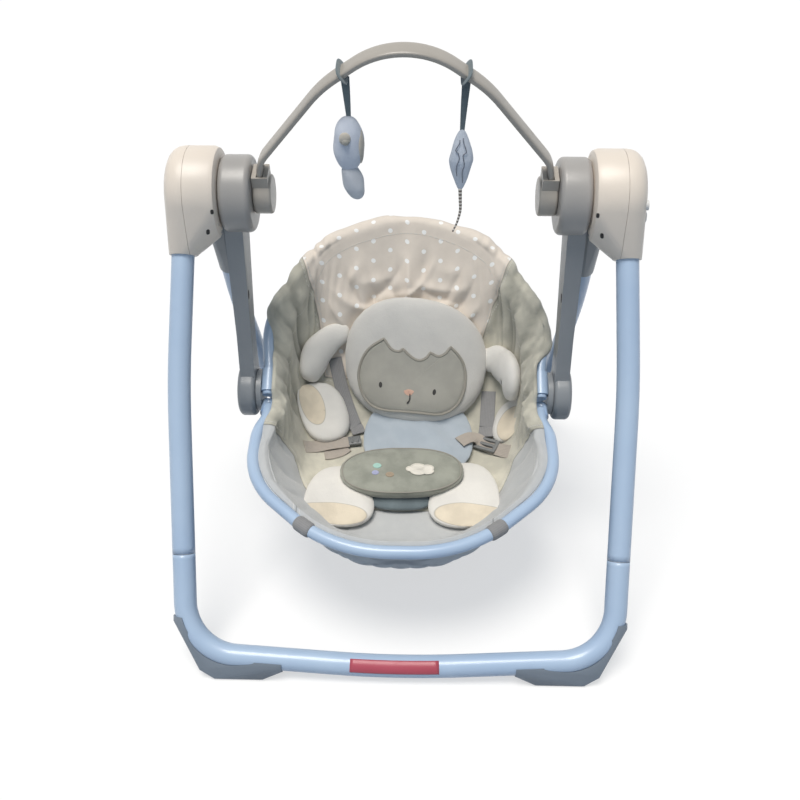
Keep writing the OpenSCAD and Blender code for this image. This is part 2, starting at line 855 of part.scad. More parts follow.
module front_leg_left() color(white) side(true) leg_tube(-1, front_leg_x, front_corner_x, front_od, 34.5);
module front_leg_right() color(white) side(false) leg_tube(-1, front_leg_x, front_corner_x, front_od, 34.5);
module front_base_tube() color(white) base_tube(-1, front_leg_x, front_corner_x, front_od);
module front_leg_plugs() color(steel) leg_plugs(-1, front_leg_x, front_corner_x, front_od);
module front_foot_left() color(foot_grey) side(true) foot(-1, front_leg_x, front_corner_x, front_od);
module front_foot_right() color(foot_grey) side(false) foot(-1, front_leg_x, front_corner_x, front_od);
module front_grips() color(rubber) grips(-1, front_corner_x);

module hub_outer_shell_left() color(plastic) side(true) outer_shell(false);
module hub_inner_shell_left() color(plastic) side(true) inner_shell();
module hub_outer_shell_right() color(plastic) side(false) outer_shell(true);
module hub_inner_shell_right() color(plastic) side(false) inner_shell();
module hub_axle_left() color(steel) side(true) axle();
module hub_axle_right() color(steel) side(false) axle();

module hub_screws() {
    color(steel)
        both_sides()
            for (p = screw_spots)
                hub_spot(p, hub_in_x + 0.6)
                    cylinder(r = 2.5 - slot_fit, h = 6);
}

module battery_door() {
    color(plastic)
        hub_axis(hub_out_x - hub_wall)
            rotate([0, 0, 76])
                rotate_extrude(angle = 158)
                    translate([16 + slot_fit, 0])
                        square([19 - 2 * slot_fit, hub_wall]);
}

module battery_cells() {
    color(steel)
        for (a = [20, 75, 130])
            hub_spot([38 * cos(a), 38 * sin(a)], hub_in_x + 6)
                cylinder(d = cell_d - 1, h = cell_len);
}

module circuit_board() {
    color([0.2, 0.42, 0.28])
        translate([hub_out_x - 15, -47, hub_z - 15])
            cube([1.6, 47 - axle_boss_r - slot_fit, 22]);
}

module drive_coil() {
    color([0.7, 0.42, 0.22])
        hub_spot(magnet_spot, hub_in_x + hub_wall + 0.4)
            difference() {
                cylinder(r = coil_r, h = 2.4);
                translate([0, 0, -1])
                    cylinder(r = 3, h = 6);
            }
}

module control_button(p, r, reach) {
    hub_spot(p, hub_out_x - 10)
        cylinder(r = r, h = reach);
}

module power_button() color(foot_grey) control_button(power_spot, button_r, 9.5 + button_press);
module music_button() color(foot_grey) control_button(music_spot, button_r, 9.5 + button_press);
module fold_button_left() color(slate) side(true) control_button(fold_spot, fold_button_r, 8 + fold_press);
module fold_button_right() color(slate) side(false) control_button(fold_spot, fold_button_r, 8 + fold_press);

module rear_leg_left() color(white) side(true) leg_tube(1, rear_leg_x, rear_corner_x, rear_od, 84.5);
module rear_leg_right() color(white) side(false) leg_tube(1, rear_leg_x, rear_corner_x, rear_od, 84.5);
module rear_base_tube() color(white) base_tube(1, rear_leg_x, rear_corner_x, rear_od);
module rear_leg_plugs() color(steel) leg_plugs(1, rear_leg_x, rear_corner_x, rear_od);
module rear_foot_left() color(foot_grey) side(true) foot(1, rear_leg_x, rear_corner_x, rear_od);
module rear_foot_right() color(foot_grey) side(false) foot(1, rear_leg_x, rear_corner_x, rear_od);
module rear_grips() color(rubber) grips(1, rear_corner_x);
module rear_knuckle_left() color(plastic) side(true) knuckle();
module rear_knuckle_right() color(plastic) side(false) knuckle();

module swing_arm_left() color(slate) side(true) arm();
module swing_arm_right() color(slate) side(false) arm();
module drive_magnet() {
    color(steel)
        hub_spot(magnet_spot, arm_out_x - 3.8)
            cylinder(r = coil_r, h = 3.6);
}

module toy_bar() {
    color(plastic)
        bar_plane()
            sweep(bar_points, bar_radii) {
                band(bar_t, bar_w);
                band(bar_t + bend_swell, bar_w + bend_swell);
            }
}

module bar_cap_left() color(plastic) side(true) bar_cap();
module bar_cap_right() color(plastic) side(false) bar_cap();
module toy_loops() {
    color(taupe)
        union() {
            toy_loop(-toy_x);
            toy_loop(toy_x);
        }
}

module toy_left() {
    color(slate)
        union() {
            toy_strap(-toy_x, left_strap + 2, 11);
            rings_solid(oval([-toy_x, toy_y, toy_z - left_strap], 18, 14, 58, 0.55, 20, 10));
            rings_solid(oval([-toy_x + 5, toy_y, toy_z - left_strap - 50], 13, 10, 42, 0.5, 16, 7));
        }
}

module toy_right() {
    color(sage)
        union() {
            toy_strap(toy_x, right_strap + 3, 11);
            rings_solid(oval([toy_x, toy_y, toy_z - right_strap], 15, 9, 66, 0.55, 20, 10));
            translate([toy_x - 2, toy_y - 0.8, toy_z - right_strap - 112])
                cube([4.5, 1.6, 50]);
        }
}

module seat_bracket_left() color(plastic) side(true) bracket();
module seat_bracket_right() color(plastic) side(false) bracket();
module seat_pins() color(steel) both_sides() pin();
module seat_front_loop() color(white) loop_plane() bent_tube(loop_points, loop_radii, seat_od, seat_wall);
module seat_back_loop() color(white) back_plane() bent_tube(back_points, back_radii, seat_od, seat_wall);
module seat_sling() color(cloth) dish_layer(-sling_t, 0, dish_rings, 0.02);
module seat_pad() color(sage) dish_layer(pad_0, pad_0 + pad_t, pad_rings, 0);

// Webbing wrapped round the front loop, on the bends beside its middle
module loop_webbing() {
    bend = 4;
    a = 180 - webbing_slant;
    c = bend_centre(loop_points, loop_radii, bend) + loop_radii[bend] * [sin(a), -cos(a)];
    room = seat_od + 2 * webbing_fit;
    color(taupe)
        both_sides()
            loop_plane()
                translate([c.x, c.y, 0])
                    rotate([0, 0, a])
                        rotate([0, 90, 0])
                            difference() {
                                cylinder(d = room + 2 * web_t, h = web_w, center = true);
                                cylinder(d = room, h = web_w + 2, center = true);
                            }
}

module shoulder_straps() {
    color(taupe)
        union() {
            strip([-82, 236], [-106, 308], web_w, soft_0, web_t);
            strip([113, 231], [113, 264], web_w, soft_0, web_t);
        }
}

module waist_straps() {
    color(taupe)
        union() {
            strip([-146, 196], [-84, 208], web_w, soft_0, web_t);
            strip([158, 186], [142, 193], web_w, soft_0, web_t);
        }
}

// Belt tongue on the left and slotted buckle plate on the right, lying on the pad
module harness_buckles() {
    color([0.66, 0.67, 0.69])
        union() {
            on_dish([-74, 211], soft_0 - 0.3)
                rotate([0, 0, 11])
                    translate([-9, -8, 0])
                        cube([18, 16, 5]);
            on_dish([120, 206], soft_0 + 1.3)
                rotate([0, 0, -28])
                    difference() {
                        translate([-16, -9, 0])
                            cube([32, 18, 4]);
                        translate([-9, -2, -1])
                            cube([18, 4, 8]);
                    }
        }
}

module crotch_pad() color(sage) crotch_form();
module lamb_head() color(cream) head_form();
module lamb_body() color(cream) body_form();

module ear(c, a, b, spin) {
    difference() {
        cushion(c, a, b, spin, 20, 5, soft_0, 0, 5, 20);
        head_form(1);
    }
}

module lamb_ear_left() color(cream) ear([-118, 342], 52, 20, 40);
module lamb_ear_right() color(cream) ear([137, 305], 22, 44, 8);

module lamb_arms() {
    color(cream)
        union() {
            cushion([-131, 254], 21, 32, -8, 22, 5, soft_0, 0, 5, 20);
            cushion([143, 240], 14, 16, 0, 16, 4, soft_0, 0, 5, 20);
        }
}

module lamb_legs() {
    color(cream)
        difference() {
            union() {
                cushion([-80, 110], 42, 52, 6, 30, 6, soft_0, 0, 5, 24);
                cushion([92, 116], 42, 52, -6, 30, 6, soft_0, 0, 5, 24);
            }
            crotch_form(1);
        }
}

front_leg_left();
front_leg_right();
front_base_tube();
front_leg_plugs();
front_foot_left();
front_foot_right();
front_grips();
hub_outer_shell_left();
hub_inner_shell_left();
hub_outer_shell_right();
hub_inner_shell_right();
hub_axle_left();
hub_axle_right();
hub_screws();
battery_door();
battery_cells();
circuit_board();
drive_coil();
power_button();
music_button();
fold_button_left();
fold_button_right();
rear_leg_left();
rear_leg_right();
rear_base_tube();
rear_leg_plugs();
rear_foot_left();
rear_foot_right();
rear_grips();
rear_knuckle_left();
rear_knuckle_right();
swing_arm_left();
swing_arm_right();
drive_magnet();
toy_bar();
bar_cap_left();
bar_cap_right();
toy_loops();
toy_left();
toy_right();
seat_bracket_left();
seat_bracket_right();
seat_pins();
seat_front_loop();
seat_back_loop();
seat_sling();
seat_pad();
loop_webbing();
shoulder_straps();
waist_straps();
harness_buckles();
crotch_pad();
lamb_head();
lamb_body();
lamb_ear_left();
lamb_ear_right();
lamb_arms();
lamb_legs();
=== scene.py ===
"""Looks of the portable infant swing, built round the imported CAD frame.

Lengths are in millimetres and meshes in metres. Points of the seat are given in the seat's plane: x across,
s from the front lip up the slope, w square to it.
"""

import bpy
import numpy as np
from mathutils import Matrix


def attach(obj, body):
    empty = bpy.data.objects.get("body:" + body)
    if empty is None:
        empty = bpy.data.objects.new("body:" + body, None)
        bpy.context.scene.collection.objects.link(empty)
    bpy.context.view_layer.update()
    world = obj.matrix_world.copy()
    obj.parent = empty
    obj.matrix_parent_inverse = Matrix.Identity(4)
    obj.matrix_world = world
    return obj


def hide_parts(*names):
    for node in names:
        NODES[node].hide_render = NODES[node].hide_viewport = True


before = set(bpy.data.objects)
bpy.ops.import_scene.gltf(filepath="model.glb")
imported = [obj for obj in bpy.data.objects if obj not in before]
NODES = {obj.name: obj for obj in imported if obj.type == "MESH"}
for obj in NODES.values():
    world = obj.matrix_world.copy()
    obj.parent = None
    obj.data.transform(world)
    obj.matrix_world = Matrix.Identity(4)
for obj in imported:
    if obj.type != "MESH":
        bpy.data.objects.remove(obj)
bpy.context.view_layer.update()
RNG = np.random.default_rng(7)
MM = 0.001
SIDES = ("left", "right")
SIGNS = (("left", -1), ("right", 1))


# Numbers that the CAD source gives

HUB_Z, LEAN = 518.0, np.radians(31)
RUN_CORNER, BOW_RUN, SEAM_RUN = 569.3, 235.0, 446.0
PIVOT_Z, SOCKET = HUB_Z - 283, 13
RING_FOOT, RING_REACH, LOOP_DROP = -15, 251, np.radians(12)
BACK_FOOT, BACK_REACH, BACK_SLOPE = -10, 242.6, np.radians(40)
SEAT_TUBE, SOCKET_X = 8, 187.5
LIP = np.array([RING_FOOT - RING_REACH * np.cos(LOOP_DROP) + 12.4,
                PIVOT_Z - SOCKET - RING_REACH * np.sin(LOOP_DROP) + 2])
TOP = np.array([BACK_FOOT + BACK_REACH * np.cos(BACK_SLOPE),
                PIVOT_Z + SOCKET + BACK_REACH * np.sin(BACK_SLOPE)])
SEAT_LEN = float(np.linalg.norm(TOP - LIP))
MID = SEAT_LEN / 2
COS_T, SIN_T = (TOP - LIP) / SEAT_LEN
X_AXIS = np.array([1.0, 0, 0])
Y_AXIS = np.array([0, 1.0, 0])
Z_AXIS = np.array([0, 0, 1.0])
W_AXIS = np.array([0, -SIN_T, COS_T])
S_AXIS = np.array([0, COS_T, SIN_T])
BAR_X, BAR_LEAN = 174.25, np.radians(110)
TOY_Y, TOY_Z = -53.97, 666.29


# Points and meshes

def smooth(a, b, v):
    """Soft step from 0 at a to 1 at b"""
    t = np.clip((v - a) / (b - a), 0, 1)
    return t * t * (3 - 2 * t)


def unit(v):
    """Vectors made one long"""
    return v / np.maximum(np.linalg.norm(v, axis=-1, keepdims=True), 1e-9)


def turn(u, v, q):
    """Plan vectors turned by an angle"""
    return u * np.cos(q) - v * np.sin(q), u * np.sin(q) + v * np.cos(q)


def full_turn(n):
    """Angles of n even steps round"""
    return np.linspace(0, 2 * np.pi, n, endpoint=False)


def superoval(a, e):
    """Radius of a superellipse with half axes of 1: (|cos(a)| ** e + |sin(a)| ** e) ** (-1 / e)"""
    return (np.abs(np.cos(a)) ** e + np.abs(np.sin(a)) ** e) ** (-1 / e)


def circle(r, n=40):
    """Section of a round bar"""
    a = full_turn(n)
    return r * np.stack([np.cos(a), np.sin(a)], -1)


def slab(w, t, e=6.0, n=36):
    """Section of a band: superellipse w wide and t thick"""
    a = full_turn(n)
    k = superoval(a, e)
    return np.stack([w / 2 * k * np.cos(a), t / 2 * k * np.sin(a)], -1)


def round_off(n, power, least):
    """Width along n rows of a piece with rounded ends: square root of 1 - t ** power for t from -1 to 1, where that is
    not less than the least"""
    return np.sqrt(np.clip(1 - (2 * np.linspace(0, 1, n) - 1) ** power, least, 1))


def spline(points, n):
    """n points on a Catmull-Rom curve through the points"""
    p = np.asarray(points, float)
    p = np.concatenate([[2 * p[0] - p[1]], p, [2 * p[-1] - p[-2]]])
    u = np.linspace(0, len(p) - 3 - 1e-9, n)
    i = u.astype(int)
    t = (u - i).reshape((-1,) + (1,) * (p.ndim - 1))
    a, b, c, d = p[i], p[i + 1], p[i + 2], p[i + 3]
    return 0.5 * (2 * b + (c - a) * t + (2 * a - 5 * b + 4 * c - d) * t ** 2 + (3 * b - a - 3 * c + d) * t ** 3)


def rounded(points, radii, step=5.0):
    """Polyline in a plane with its corners turned into arcs, as points about a step apart"""
    p = [np.array(q, float) for q in points]
    out = [p[0]]
    for a, b, c, r in zip(p, p[1:], p[2:], radii[1:-1]):
        u, v = unit(a - b), unit(c - b)
        half = np.arccos(np.clip(u @ v, -1, 1)) / 2
        centre = b + unit(u + v) * r / np.sin(half)
        start, end = b + u * r / np.tan(half), b + v * r / np.tan(half)
        way = np.linspace(0, 1, 2 + int(r * (np.pi - 2 * half) / step))[:, None]
        out.extend(centre + r * unit((1 - way) * (start - centre) + way * (end - centre)))
    out.append(p[-1])
    out = np.array(out)
    length = np.concatenate([[0], np.cumsum(np.linalg.norm(np.diff(out, axis=0), axis=1))])
    apart = np.concatenate([[True], np.diff(length) > 1e-6])
    at = np.linspace(0, length[-1], 2 + int(length[-1] / step))
    return np.stack([np.interp(at, length[apart], out[apart, k]) for k in range(2)], -1)


def mirrored(half, *middle):
    """Points of one half, those in the middle, and the other half"""
    return [*half, *middle, *([-x, y] for x, y in reversed(half))]


def span(path):
    """Length of a path in metres"""
    return float(np.linalg.norm(np.diff(path, axis=0), axis=1).sum()) * MM


def sweep(path, section, up):
    """Section carried along a path: P[i, j] = path + side * section x + top * section y"""
    path = np.asarray(path, float)
    ahead = unit(np.gradient(path, axis=0))
    side = unit(np.cross(ahead, np.broadcast_to(up, path.shape)))
    top = np.cross(side, ahead)
    return path[:, None] + side[:, None] * section[..., 0:1] + top[:, None] * section[..., 1:2]


def grid(P, loop=False):
    """Quads over P[i, j], closed in j. loop joins the last row to the first, or else a fan closes each end. Returns
    points, quads, triangles, and the corners' place around and along in metres."""
    n, m = P.shape[:2]
    i, j = np.meshgrid(np.arange(n if loop else n - 1), np.arange(m), indexing="ij")
    k, q = (j + 1) % m, (i + 1) % n
    quads = np.stack([i * m + j, i * m + k, q * m + k, q * m + j], -1).reshape(-1, 4)
    along = np.concatenate([[0], np.cumsum(np.linalg.norm(np.diff(P, axis=0), axis=2).mean(1))])
    along = np.append(along, along[-1] + np.linalg.norm(P[0] - P[-1], axis=1).mean())
    around = np.concatenate([[0], np.cumsum(np.linalg.norm(np.roll(P, -1, 1) - P, axis=2).mean(0))])
    uv = np.stack([np.stack([around[a], along[b]], -1)
                   for a, b in ((j, i), (j + 1, i), (j + 1, i + 1), (j, i + 1))], 2).reshape(-1, 4, 2)
    points, tris, tri_uv = P.reshape(-1, 3), np.zeros((0, 3), int), np.zeros((0, 3, 2))
    if not loop:
        points = np.concatenate([points, [P[0].mean(0), P[-1].mean(0)]])
        j = np.arange(m)
        k, last = (j + 1) % m, (n - 1) * m
        tris = np.concatenate([np.stack([k, j, np.full(m, n * m)], -1),
                               np.stack([last + j, last + k, np.full(m, n * m + 1)], -1)])
        tri_uv = np.concatenate([np.stack([np.stack([around[a], np.full(m, h)], -1) for a in (j, j + 1, j)], 1)
                                 for h in (along[0], along[n - 1])])
    return points, quads, tris, uv * MM, tri_uv * MM


def in_scene(name, data):
    """New object in the scene"""
    obj = bpy.data.objects.new(name, data)
    bpy.context.scene.collection.objects.link(obj)
    return obj


def piece(name, shape, material, body, replaces=(), values=None, uv=None):
    """One smooth piece from a grid's points and faces, turned so that its normals point outwards"""
    points, quads, tris, quad_uv, tri_uv = shape
    if uv is not None:
        quad_uv, tri_uv = uv[quads], uv[tris]
    corners = np.concatenate([quads[:, [0, 1, 2]], quads[:, [0, 2, 3]], tris])
    a, b, c = (points[corners[:, k]] - points.mean(0) for k in range(3))
    if np.einsum("ij,ij->", a, np.cross(b, c)) < 0:
        quads, tris, quad_uv, tri_uv = (part[:, ::-1] for part in (quads, tris, quad_uv, tri_uv))
    mesh = bpy.data.meshes.new(name)
    mesh.from_pydata((points * MM).tolist(), [], quads.tolist() + tris.tolist())
    layer = mesh.uv_layers.new(name="UVMap")
    layer.data.foreach_set("uv", np.concatenate([quad_uv.reshape(-1, 2), tri_uv.reshape(-1, 2)]).ravel())
    mesh.polygons.foreach_set("use_smooth", np.ones(len(mesh.polygons), bool))
    for key, value in (values or {}).items():
        mesh.attributes.new(key, "FLOAT", "POINT").data.foreach_set("value", np.asarray(value, np.float32))
    mesh.materials.append(material)
    mesh.update()
    obj = in_scene(name, mesh)
    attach(obj, body)
    if replaces:
        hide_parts(*replaces)
    return obj


# The seat's dish, as in the CAD source

SEAT_HALF, SEAT_FLARE, RIM_DIP, BOWL = 172, 11, 58, 105
FRONT_POWER, BACK_POWER = 2.4, 2.0


def half_at(s):
    """Half width of the dish, least near the middle"""
    return SEAT_HALF + SEAT_FLARE * smooth(25, 110, np.abs(s - MID - 3))


def share(x, s):
    """How far out to the rim a plan point lies, 0 in the middle and 1 on the rim"""
    n = np.where(s < MID, FRONT_POWER, BACK_POWER)
    return ((np.abs(x) / half_at(s)) ** n + (np.abs(s - MID) / MID) ** n) ** (1 / n)


def dish(x, s):
    """Height of the dish: its rim dips in the middle, and a bowl of depth * (1 - share ** 8) ** 0.4545 hangs from it,
    deepest at s = 250 and shallow at the head"""
    rim = -RIM_DIP * (1 - (np.abs(s - MID) / MID) ** 1.2)
    deep = BOWL + 10 * np.exp(-((s - 250) / 90) ** 2) - 60 * smooth(290, 470, s)
    return rim - deep * np.maximum(0, 1 - np.minimum(1, share(x, s)) ** 8) ** 0.4545


def seat_pt(x, s, w):
    """Points at x, s and w of the seat's plane"""
    x, s, w = (np.asarray(v, float)[..., None] for v in (x, s, w))
    return x * X_AXIS + np.array([0, *LIP]) + s * S_AXIS + w * W_AXIS


def to_seat(P):
    """x, s and w of points"""
    d = P - np.array([0, *LIP])
    return d[..., 0], d @ S_AXIS, d @ W_AXIS


def on_seat(x, s, h):
    """Point h above the dish along its normal, and that normal"""
    x, s = np.asarray(x, float), np.asarray(s, float)
    at = lambda u, v: seat_pt(u, v, dish(u, v))
    normal = unit(np.cross(at(x + 2, s) - at(x - 2, s), at(x, s + 2) - at(x, s - 2)))
    return at(x, s) + np.asarray(h, float)[..., None] * normal, normal


# Materials: shared effects as node groups, with the shader itself in each material

class Tree:
    """Short hand for a node tree: node() makes a node and fills its inputs, add() returns one of its outputs"""

    def __init__(self, tree):
        self.tree = tree

    def node(self, kind, inputs, **settings):
        node = self.tree.nodes.new("ShaderNode" + kind)
        for key, value in settings.items():
            setattr(node, key, value)
        for key, value in inputs.items():
            if isinstance(value, bpy.types.NodeSocket):
                self.tree.links.new(value, node.inputs[key])
            else:
                node.inputs[key].default_value = value
        return node

    def add(self, kind, inputs, out=0, **settings):
        return self.node(kind, inputs, **settings).outputs[out]

    def use(self, group, inputs, out):
        made = self.node("Group", inputs, node_tree=group).outputs
        return [made[name] for name in out]

    def math(self, operation, a, b=0.5, c=0.5):
        return self.add("Math", {0: a, 1: b, 2: c}, operation=operation)

    def times(self, a, b):
        return self.math("MULTIPLY", a, b)

    def ramp(self, value, low, high, start=0.0, end=1.0):
        return self.add("MapRange", {"Value": value, "From Min": low, "From Max": high, "To Min": start, "To Max": end},
                        interpolation_type="SMOOTHSTEP")

    def mix(self, factor, a, b, blend="MIX"):
        return self.add("Mix", {0: factor, 6: a, 7: b}, out=2, data_type="RGBA", blend_type=blend)

    def shade(self, colour, grey):
        """Colour times a grey value"""
        return self.mix(1.0, colour, self.add("CombineColor", {0: grey, 1: grey, 2: grey}), "MULTIPLY")

    def noise(self, vector, scale, detail=3.0):
        return self.add("TexNoise", {"Vector": vector, "Scale": scale, "Detail": detail})

    def split(self, vector):
        made = self.node("SeparateXYZ", {0: vector}).outputs
        return made[0], made[1]

    def attribute(self, name):
        return self.add("Attribute", {}, 2, attribute_name=name)

    def coords(self, which):
        return self.add("TexCoord", {}, which)

    def shown(self):
        """1 where the camera sees a surface, also mirrored or through glass, and 0 for the light it throws back"""
        ray = self.node("LightPath", {}).outputs
        seen = ray["Is Camera Ray"]
        for kind in ("Is Glossy Ray", "Is Transmission Ray"):
            seen = self.math("MAXIMUM", seen, ray[kind])
        return seen


def group(name, inputs, outputs, build):
    """Node group whose build function turns its input sockets into its outputs"""
    tree = bpy.data.node_groups.new(name, "ShaderNodeTree")
    for key, kind in inputs.items():
        tree.interface.new_socket(key, in_out="INPUT", socket_type="NodeSocket" + kind)
    for key in outputs:
        tree.interface.new_socket(key, in_out="OUTPUT", socket_type="NodeSocketFloat")
    start, end = tree.nodes.new("NodeGroupInput"), tree.nodes.new("NodeGroupOutput")
    for key, value in build(Tree(tree), start.outputs).items():
        tree.links.new(value, end.inputs[key])
    return tree


def build_pile(t, i):
    """Pile of velour or plush: broad brushed patches and fine fuzz"""
    broad = t.noise(i["Vector"], 34.0, 6.0)
    fuzz = t.noise(i["Vector"], 900.0, 2.0)
    tuft = t.noise(i["Vector"], 190.0, 3.0)
    return {"Tone": t.ramp(broad, 0.34, 0.66), "Fuzz": t.math("ADD", t.times(fuzz, 0.6), t.times(tuft, 0.6))}


def build_weave(t, i):
    """Plain weave: threads over and under in both directions of the UV map, with uneven yarn"""
    across, along = (t.math("SINE", t.math("DIVIDE", part, i["Pitch"])) for part in t.split(i["Vector"]))
    return {"Thread": t.math("MULTIPLY_ADD", t.times(across, along), 0.5, 0.5), "Slub": t.noise(i["Vector"], 60.0, 4.0)}


def build_rib(t, i):
    """Ribbed webbing: cross ribs along the band and a few ridges along its length"""
    across, along = t.split(i["Vector"])
    rib, ridge = t.math("SINE", t.times(along, 4200.0)), t.math("SINE", t.times(across, 2600.0))
    both = t.math("MULTIPLY_ADD", rib, 0.7, t.times(ridge, 0.5))
    return {"Rib": t.math("MULTIPLY_ADD", both, 0.4, 0.5), "Slub": t.noise(i["Vector"], 180.0, 3.0)}


def build_mould(t, i):
    """Moulded plastic: fine spark texture, slow tone drift and scuffs"""
    drift = t.noise(i["Vector"], 9.0, 3.0)
    scuff = t.ramp(t.noise(i["Vector"], 45.0, 6.0), 0.62, 0.78)
    return {"Tone": t.ramp(drift, 0.25, 0.75), "Grain": t.noise(i["Vector"], 1500.0, 2.0), "Scuff": scuff}


DOTS_ACROSS, DOTS_DOWN, DOT_RADIUS = 24.5, 28.0, 3.3


def build_dots(t, i):
    """Printed dots in staggered columns of the UV map: 1 within the radius of the nearest dot"""
    x, y = t.split(i["Vector"])
    u = t.math("DIVIDE", x, DOTS_ACROSS * MM)
    column = t.math("ROUND", u)
    odd = t.times(t.math("PINGPONG", column, 1.0), 0.5)
    v = t.math("ADD", t.math("DIVIDE", y, DOTS_DOWN * MM), odd)
    du = t.times(t.math("SUBTRACT", u, column), DOTS_ACROSS)
    dv = t.times(t.math("SUBTRACT", v, t.math("ROUND", v)), DOTS_DOWN)
    away = t.math("SQRT", t.math("ADD", t.times(du, du), t.times(dv, dv)))
    return {"Dot": t.ramp(away, DOT_RADIUS + 0.3, DOT_RADIUS - 0.3)}


PILE = group("pile", {"Vector": "Vector"}, ["Tone", "Fuzz"], build_pile)
WEAVE = group("weave", {"Vector": "Vector", "Pitch": "Float"}, ["Thread", "Slub"], build_weave)
RIB = group("rib", {"Vector": "Vector"}, ["Rib", "Slub"], build_rib)
MOULD = group("mould", {"Vector": "Vector"}, ["Tone", "Grain", "Scuff"], build_mould)
DOTS = group("dots", {"Vector": "Vector"}, ["Dot"], build_dots)


def shader(name, depth, constants, build):
    """Material whose build function gives sockets for the shader's inputs, and a Height for a bump of the depth"""
    material = bpy.data.materials.new(name)
    material.use_nodes = True
    tree, bsdf = Tree(material.node_tree), material.node_tree.nodes["Principled BSDF"]
    made = build(tree)
    made["Normal"] = tree.add("Bump", {"Height": made.pop("Height"), "Distance": depth, "Strength": 1.0})
    for key, value in made.items():
        tree.tree.links.new(value, bsdf.inputs[key])
    for key, value in constants.items():
        bsdf.inputs[key].default_value = value
    return material


def rgb(*c):
    """Opaque colour"""
    return (*c, 1.0)


def moulded(t, rough, scuffed):
    """Tone, grain and scuff of a moulded surface, and its roughness, which scuffs raise"""
    tone, grain, scuff = t.use(MOULD, {"Vector": t.coords("Object")}, ["Tone", "Grain", "Scuff"])
    return tone, grain, scuff, t.ramp(scuff, 0.0, 1.0, rough, rough + scuffed)


def plastic(name, colour, tint, rough, coat=0.0):
    """Moulded plastic or paint: colour drifts towards a tint, scuffs are darker and rougher"""
    def build(t):
        tone, grain, scuff, worn = moulded(t, rough, 0.12)
        base = t.mix(tone, rgb(*colour), rgb(*tint))
        base = t.mix(t.times(scuff, 0.12), base, rgb(*(0.8 * v for v in tint)))
        return {"Base Color": base, "Roughness": worn, "Height": grain}
    return shader(name, 0.00004 if coat else 0.00012, {"Coat Weight": coat, "Coat Roughness": 0.12}, build)


def metal(name, colour, rough):
    """Bare metal: colour drifts a fifth darker, scuffs are rougher"""
    def build(t):
        tone, grain, _, worn = moulded(t, rough, 0.2)
        base = t.mix(tone, rgb(*colour), rgb(*(0.8 * v for v in colour)))
        return {"Base Color": base, "Roughness": worn, "Height": grain}
    return shader(name, 0.00004, {"Metallic": 1.0}, build)


def pile(name, colour, dark, sole=None, depth=0.0006):
    """Velour or plush; where the piece carries a sole value, that part takes the sole's colour with a sewn edge"""
    def build(t):
        tone, fuzz = t.use(PILE, {"Vector": t.coords("Object")}, ["Tone", "Fuzz"])
        c = t.mix(tone, rgb(*dark), rgb(*colour))
        if sole:
            at = t.attribute("sole")
            c = t.mix(t.ramp(at, -0.02, 0.02), c, t.mix(tone, rgb(*(0.86 * v for v in sole)), rgb(*sole)))
            c = t.shade(c, t.ramp(t.math("ABSOLUTE", at), 0.0, 0.05, 0.72, 1.0))
        return {"Base Color": c, "Height": fuzz}
    return shader(name, depth, {"Roughness": 0.92, "Sheen Weight": 0.45, "Sheen Roughness": 0.45}, build)


def yarn(name, colour, dark, effect, inputs, weight, depth, rough, sheen):
    """Woven yarn on the UV map: the effect's thread and slub, by weight, lead from the dark colour to the light one"""
    def build(t):
        main = "Rib" if effect == RIB else "Thread"
        thread, slub = t.use(effect, {"Vector": t.coords("UV"), **inputs}, [main, "Slub"])
        tone = t.math("MULTIPLY_ADD", thread, weight, t.times(slub, 1 - weight))
        return {"Base Color": t.mix(tone, rgb(*dark), rgb(*colour)), "Height": thread}
    return shader(name, depth, {"Roughness": rough, "Sheen Weight": sheen}, build)


def woven(name, colour, dark, pitch, rough=0.85):
    """Cloth or thread in a plain weave"""
    return yarn(name, colour, dark, WEAVE, {"Pitch": pitch}, 0.5, 0.0003, rough, 0.2)


def webbing(name, colour, dark):
    """Ribbed webbing"""
    return yarn(name, colour, dark, RIB, {}, 0.6, 0.0005, 0.8, 0.15)


def striped(name, light, dark, pitch):
    """Cord of two yarns: bands of both colours across its length"""
    def build(t):
        band = t.math("SINE", t.times(t.split(t.coords("UV"))[1], 2 * np.pi / pitch))
        return {"Base Color": t.mix(t.ramp(band, -0.3, 0.3), rgb(*dark), rgb(*light)), "Height": band}
    return shader(name, 0.0002, {"Roughness": 0.8}, build)


